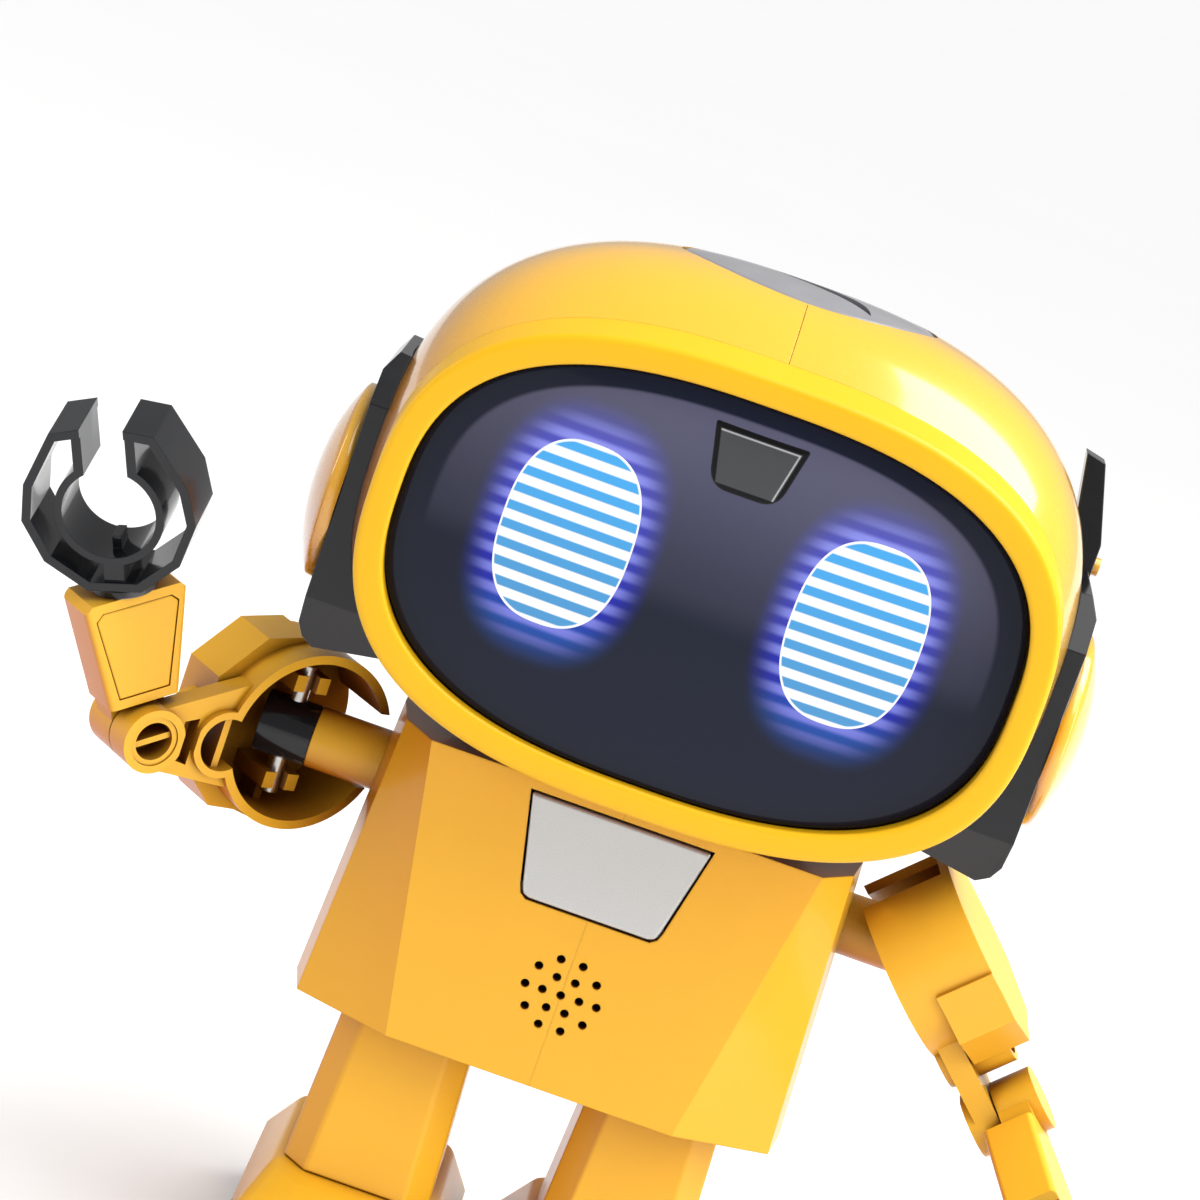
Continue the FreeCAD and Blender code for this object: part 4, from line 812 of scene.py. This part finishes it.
def post_rows(middle, half_x, half_y, low, high, around):
    """Two closed rows of an upright elliptical post."""
    turns = [2 * math.pi * k / around for k in range(around)]
    return [[Vector((middle.x + half_x * math.cos(turn), middle.y + half_y * math.sin(turn),
                     height)) for turn in turns] for height in (low, high)]


def slot_row(middle, height):
    """Leaf outline of the touch panel's slot at a height, leaning across the panel."""
    half_long = 10.5 * MM
    lean = math.radians(-38)
    row = []
    for way, belly in ((1, 5.5 * MM), (-1, 1.1 * MM)):
        for k in range(24):
            reach = way * (2 * k / 24 - 1)
            along = reach * half_long
            bow = belly * (1 - reach * reach)
            row.append(Vector((1.5 * MM + along * math.cos(lean) - bow * math.sin(lean),
                               middle.y - 3 * MM + along * math.sin(lean) + bow * math.cos(lean),
                               height)))
    return row


def make_touch_panel():
    """Grey panel that follows the head's top, with its leaf-shaped slot."""
    low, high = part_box("touch_panel")
    middle = (low + high) / 2
    half_w = (high.x - low.x) / 2
    half_deep = (high.y - low.y) / 2
    rings = 40
    around = 128
    rows = []
    for ring in range(rings + 1):
        reach = ring / rings
        drop = 0.05 * MM + 0.5 * MM * max(0.0, reach - 0.96) / 0.04
        row = []
        for k in range(around):
            turn = 2 * math.pi * k / around
            across = middle.x + reach * half_w * math.cos(turn)
            deep = middle.y + reach * half_deep * math.sin(turn)
            row.append(Vector((across, deep, head_top(across, deep - FACE_Y) - drop)))
        rows.append(row)
    obj = add_piece("touch_panel_look", grid_mesh("touch_panel_look", rows, True), "head",
                    "panel", "grey_panel", "touch_panel")
    solid_wall(obj, 1.3 * MM)
    carve(obj, "slot_tool", [slot_row(middle, height) for height in CUT_HEIGHTS])
    smooth_by_angle(obj, 35)


def make_visor():
    """Bowed window with a rounded rim."""
    half_w = (VISOR_HIGH.x - VISOR_LOW.x) / 2
    half_tall = (VISOR_HIGH.z - VISOR_LOW.z) / 2
    turns = even_turns(looks().around * 2, looks().oval_power, half_w, half_tall)[:-1]
    rows = []
    rings = 48
    for ring in range(rings + 1):
        reach = ring / rings
        row = []
        for turn in turns:
            across, up = squared(turn, looks().oval_power)
            spot = Vector((across * half_w * reach, 0, up * half_tall * reach))
            spot.y = bowed(spot.x, spot.z)
            row.append(spot + Vector((0, 0, HEAD_Z)))
        rows.append(row)
    edge = rows[-1]
    for inset, drop in ((0.02, 0.1), (0.0, 0.3), (0.0, 1.2), (0.0, 3.0)):
        rows.append([Vector((spot.x * (1 - inset / 45), spot.y + drop * MM, spot.z))
                     for spot in edge])
    add_piece("visor_look", grid_mesh("visor_look", rows, True), "head", "visor", "visor_dark",
              "visor")


def bowed(across, up):
    """Depth of the visor's skin at a point of the face."""
    sag = VISOR_CURVE - math.sqrt(VISOR_CURVE ** 2 - across * across - up * up)
    return FACE_Y + 1.2 * MM + sag


def make_eye(side):
    """Eye lens a hair proud of the window."""
    low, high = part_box("eye_" + side)
    middle = (low + high) / 2
    half_w = (high.x - low.x) / 2
    half_tall = (high.z - low.z) / 2
    turns = even_turns(96, looks().eye_power, half_w, half_tall)[:-1]
    rows = []
    middle_rings = [(k / 20, 0.06) for k in range(20)]
    for reach, proud in middle_rings + [(0.985, 0.055), (1.0, 0.02), (1.0, -0.5)]:
        row = []
        for turn in turns:
            across, up = squared(turn, looks().eye_power)
            x = middle.x + across * half_w * reach
            z = middle.z + up * half_tall * reach
            row.append(Vector((x, bowed(x, z - HEAD_Z) - proud * MM, z)))
        rows.append(row)
    name = "eye_look_" + side
    add_piece(name, grid_mesh(name, rows, True), "head", "eye", "eye_glow", "eye_" + side)


def make_sensor():
    """Sensor window a hair proud of the visor."""
    low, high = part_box("sensor_window")
    middle = (low.x + high.x) / 2
    half_top = (high.x - low.x) / 2
    half_base = half_top * SENSOR_TAPER
    corners = ((middle - half_top, high.z), (middle + half_top, high.z),
               (middle + half_base, low.z), (middle - half_base, low.z))
    outline = rounded_profile(corners, (0.5 * MM, 0.5 * MM, 2.9 * MM, 2.9 * MM), 8)
    centre = Vector((middle, (low.z + high.z) / 2))
    rows = []
    for reach, proud in ((0.0, 0.10), (0.5, 0.10), (0.94, 0.10), (0.985, 0.07), (1.0, 0.02),
                         (1.0, -0.5)):
        row = []
        for spot in outline:
            flat = centre + (spot - centre) * reach
            row.append(Vector((flat.x, bowed(flat.x, flat.y - HEAD_Z) - proud * MM, flat.y)))
        rows.append(row)
    add_piece("sensor_window_look", grid_mesh("sensor_window_look", rows, True), "head",
              "sensor", "black_gloss", "sensor_window")


def make_ears():
    """Round caps with a soft rim on faceted black brackets."""
    for side, way in SIDES:
        refined("ear_bracket_" + side, "black", "black_gloss", 0.7 * MM)
        low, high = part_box("ear_dome_" + side)
        centre = (low + high) / 2
        radius = (high.z - low.z) / 2
        tall = high.x - low.x
        inner = low.x if way > 0 else high.x
        centre.x = inner
        profile = [(radius - 0.3 * MM, 0.0), (radius, 0.5 * MM), (radius, tall * 0.32)]
        for k in range(17):
            reach = 1 - k / 16
            profile.append(((radius - 0.55 * MM) * reach,
                            tall * (0.40 + 0.60 * (1 - reach ** 2.3))))
        revolved("ear_dome_look_" + side, centre, way, profile, 128, "head", "shell",
                 "yellow_shell", "ear_dome_" + side)
    refined("antenna_fin", "black", "black_gloss", 0.6 * MM)
    refined("antenna_boss", "shell", "yellow_shell", 0.3 * MM)
    refined("display_board", "board", "board_green")


# ------------------------------------------------------------------ torso, arms and legs

TORSO_PIECES = (
    ("torso_shell_right", "body", "yellow_shell", 0.0),
    ("torso_shell_left", "body", "yellow_shell", 0.0),
    ("chest_plate", "silver", "chest_silver", 0.5 * MM),
    ("case_screws", "steel", "steel", 0.0),
    ("neck_collar", "black", "black_gloss", 0.0),
    ("battery_box", "dull", "dark_plastic", 0.0),
    ("battery_cells", "cell", "cell_wrap", 0.0),
    ("battery_door", "body", "yellow_shell", 0.0),
    ("door_screw", "steel", "steel", 0.0),
    ("main_board", "board", "board_green", 0.0),
    ("speaker", "dull", "dark_plastic", 0.0),
    ("switch_body", "dull", "dark_plastic", 0.2 * MM),
    ("switch_slider", "black", "black_gloss", 0.2 * MM),
)
ARM_PIECES = (
    ("shoulder_stub", "limb", "yellow_arm", 0.25 * MM),
    ("shoulder_barrel", "black", "black_gloss", 0.3 * MM),
    ("shoulder_pins", "steel", "steel", 0.2 * MM),
    ("upper_arm", "limb", "yellow_arm", 0.0),
    ("forearm", "limb", "yellow_arm", 0.0),
    ("forearm_cover", "limb", "yellow_arm", 0.3 * MM),
    ("wrist_collar", "black", "black_gloss", 0.25 * MM),
    ("claw", "black", "black_gloss", 0.0),
)
LEG_PIECES = (
    ("leg_shell", "body", "yellow_shell", 1.2 * MM),
    ("foot_shell", "body", "yellow_shell", 1.6 * MM),
    ("foot_sole", "dull", "dark_plastic", 0.0),
    ("gear_motor", "dull", "dark_plastic", 0.0),
    ("wheel", "dull", "dark_plastic", 0.2 * MM),
    ("tyre", "rubber", "tyre_rubber", 0.5 * MM),
    ("front_roller", "rubber", "tyre_rubber", 0.2 * MM),
)


def make_torso():
    """Every piece of the torso."""
    for node, finish, slot, bevel in TORSO_PIECES:
        refined(node, finish, slot, bevel)


def make_limbs(pieces):
    """Pieces that both sides have."""
    for side, _ in SIDES:
        for part, finish, slot, bevel in pieces:
            refined(part + "_" + side, finish, slot, bevel)


# ------------------------------------------------------------------ studio

def add_camera():
    """Camera at the face's own height angle, leaning so that the robot tilts in the frame."""
    studio = bpy.context.scene.toy_studio
    data = bpy.data.cameras.new("studio_camera")
    data.sensor_width = 36
    data.lens = data.sensor_width * studio.distance / studio.frame_width
    camera = bpy.data.objects.new("studio_camera", data)
    bpy.context.scene.collection.objects.link(camera)
    back = Vector((0, -math.cos(studio.elevation), math.sin(studio.elevation)))
    right = Vector((1, 0, 0))
    up = back.cross(right)
    lean_right = math.cos(studio.roll) * right + math.sin(studio.roll) * up
    lean_up = math.cos(studio.roll) * up - math.sin(studio.roll) * right
    centre = Vector((0, FACE_Y, HEAD_Z)) - studio.aside * lean_right + 0.4 * MM * lean_up
    spot = centre + studio.distance * back
    turn = Matrix((lean_right, lean_up, back)).transposed().to_4x4()
    camera.matrix_world = Matrix.Translation(spot) @ turn
    bpy.context.scene.camera = camera


LAMPS = (
    ("key_lamp", (0.26, 0.04, 0.42), 0.36, 0.34, 2.4, (1.0, 0.99, 0.95)),
    ("side_lamp", (0.6, -0.25, 0.1), 0.12, 0.5, 1.2, (1, 1, 1)),
    ("rim_lamp", (-0.6, -0.1, 0.15), 0.12, 0.5, 1.0, (1, 1, 1)),
)


def add_lamp(name, offset, width, tall, power, tone):
    """Soft rectangular lamp that points at the face from an offset."""
    data = bpy.data.lights.new(name, "AREA")
    data.shape = "RECTANGLE"
    data.size = width
    data.size_y = tall
    data.energy = power
    data.color = tone
    lamp = bpy.data.objects.new(name, data)
    bpy.context.scene.collection.objects.link(lamp)
    away = Vector(offset)
    spot = Vector((0, 0, HEAD_Z)) + away
    lamp.matrix_world = Matrix.Translation(spot) @ facing_along(away)


def facing_along(away):
    """Turn that makes a lamp shine against a direction."""
    return away.normalized().to_track_quat("Z", "Y").to_matrix().to_4x4()


def floor_material():
    """Matte pale floor with a barely seen unevenness."""
    shader = Shader("studio_floor")
    tone = bpy.context.scene.toy_studio.floor
    cloud = shader.noise(180 * MM, 2.0)
    body = shader.mix(cloud, tint(tone, 0.985), tint(tone, 1.015))
    return shader.finish(Base_Color=body, Roughness=0.85, Emission_Color=(1.0, 1.0, 1.0),
                         Emission_Strength=0.16)


def add_floor():
    """Wide pale floor, a tenth of a millimetre under the soles."""
    rows = [[Vector((-6 + 12 * k / 8, away, -0.1 * MM)) for k in range(9)]
            for away in (-3, 0, 4, 12)]
    mesh = grid_mesh("studio_floor", rows)
    obj = bpy.data.objects.new("studio_floor", mesh)
    bpy.context.scene.collection.objects.link(obj)
    mesh.materials.append(floor_material())


def add_sky():
    """Even white surroundings and a wide soft light from above."""
    world = bpy.data.worlds.new("studio_world")
    bpy.context.scene.world = world
    world.use_nodes = True
    background = world.node_tree.nodes["Background"]
    background.inputs["Color"].default_value = (1, 1, 1, 1)
    background.inputs["Strength"].default_value = 0.42
    data = bpy.data.lights.new("top_light", "SUN")
    data.energy = 1.7
    data.angle = math.radians(50)
    sun = bpy.data.objects.new("top_light", data)
    bpy.context.scene.collection.objects.link(sun)
    sun.matrix_world = facing_along(Vector((0.45, -0.45, 1)))
    bpy.context.scene.view_settings.view_transform = "Standard"


# ------------------------------------------------------------------ operators and panel

class TOY_OT_head(bpy.types.Operator):
    """Remake the head's ring, shells, touch panel, window and ears"""
    bl_idname = "toy_robot.head"
    bl_label = "Make head"

    def execute(self, context):
        make_ring()
        make_head_shells()
        make_touch_panel()
        make_visor()
        for side, _ in SIDES:
            make_eye(side)
        make_sensor()
        make_ears()
        return {"FINISHED"}


class TOY_OT_torso(bpy.types.Operator):
    """Remake the torso with its plate, battery and electric parts"""
    bl_idname = "toy_robot.torso"
    bl_label = "Make torso"

    def execute(self, context):
        make_torso()
        return {"FINISHED"}


class TOY_OT_arms(bpy.types.Operator):
    """Remake both arms and their grippers"""
    bl_idname = "toy_robot.arms"
    bl_label = "Make arms"

    def execute(self, context):
        make_limbs(ARM_PIECES)
        return {"FINISHED"}


class TOY_OT_legs(bpy.types.Operator):
    """Remake both legs, feet and wheels"""
    bl_idname = "toy_robot.legs"
    bl_label = "Make legs"

    def execute(self, context):
        make_limbs(LEG_PIECES)
        return {"FINISHED"}


class TOY_OT_stage(bpy.types.Operator):
    """Set up the camera, floor and lamps"""
    bl_idname = "toy_robot.stage"
    bl_label = "Set stage"

    def execute(self, context):
        add_camera()
        add_floor()
        add_sky()
        for lamp in LAMPS:
            add_lamp(*lamp)
        return {"FINISHED"}


OPERATORS = (TOY_OT_head, TOY_OT_torso, TOY_OT_arms, TOY_OT_legs, TOY_OT_stage)


class TOY_PT_looks(bpy.types.Panel):
    """Buttons that build the robot's looks"""
    bl_label = "Toy robot"
    bl_idname = "TOY_PT_looks"
    bl_space_type = "VIEW_3D"
    bl_region_type = "UI"
    bl_category = "Toy Robot"

    def draw(self, context):
        for operator in OPERATORS:
            self.layout.operator(operator.bl_idname)


GROUPS = (("toy_head_looks", ToyHeadLooks), ("toy_finishes", ToyFinishes),
          ("toy_studio", ToyStudio))


def register():
    for name, group in GROUPS:
        bpy.utils.register_class(group)
        setattr(bpy.types.Scene, name, PointerProperty(type=group))
    for operator in OPERATORS:
        bpy.utils.register_class(operator)
    bpy.utils.register_class(TOY_PT_looks)


def unregister():
    bpy.utils.unregister_class(TOY_PT_looks)
    for operator in reversed(OPERATORS):
        bpy.utils.unregister_class(operator)
    for name, group in reversed(GROUPS):
        delattr(bpy.types.Scene, name)
        bpy.utils.unregister_class(group)


def main():
    register()
    bpy.ops.toy_robot.head()
    bpy.ops.toy_robot.torso()
    bpy.ops.toy_robot.arms()
    bpy.ops.toy_robot.legs()
    bpy.ops.toy_robot.stage()


if __name__ == "__main__":
    main()
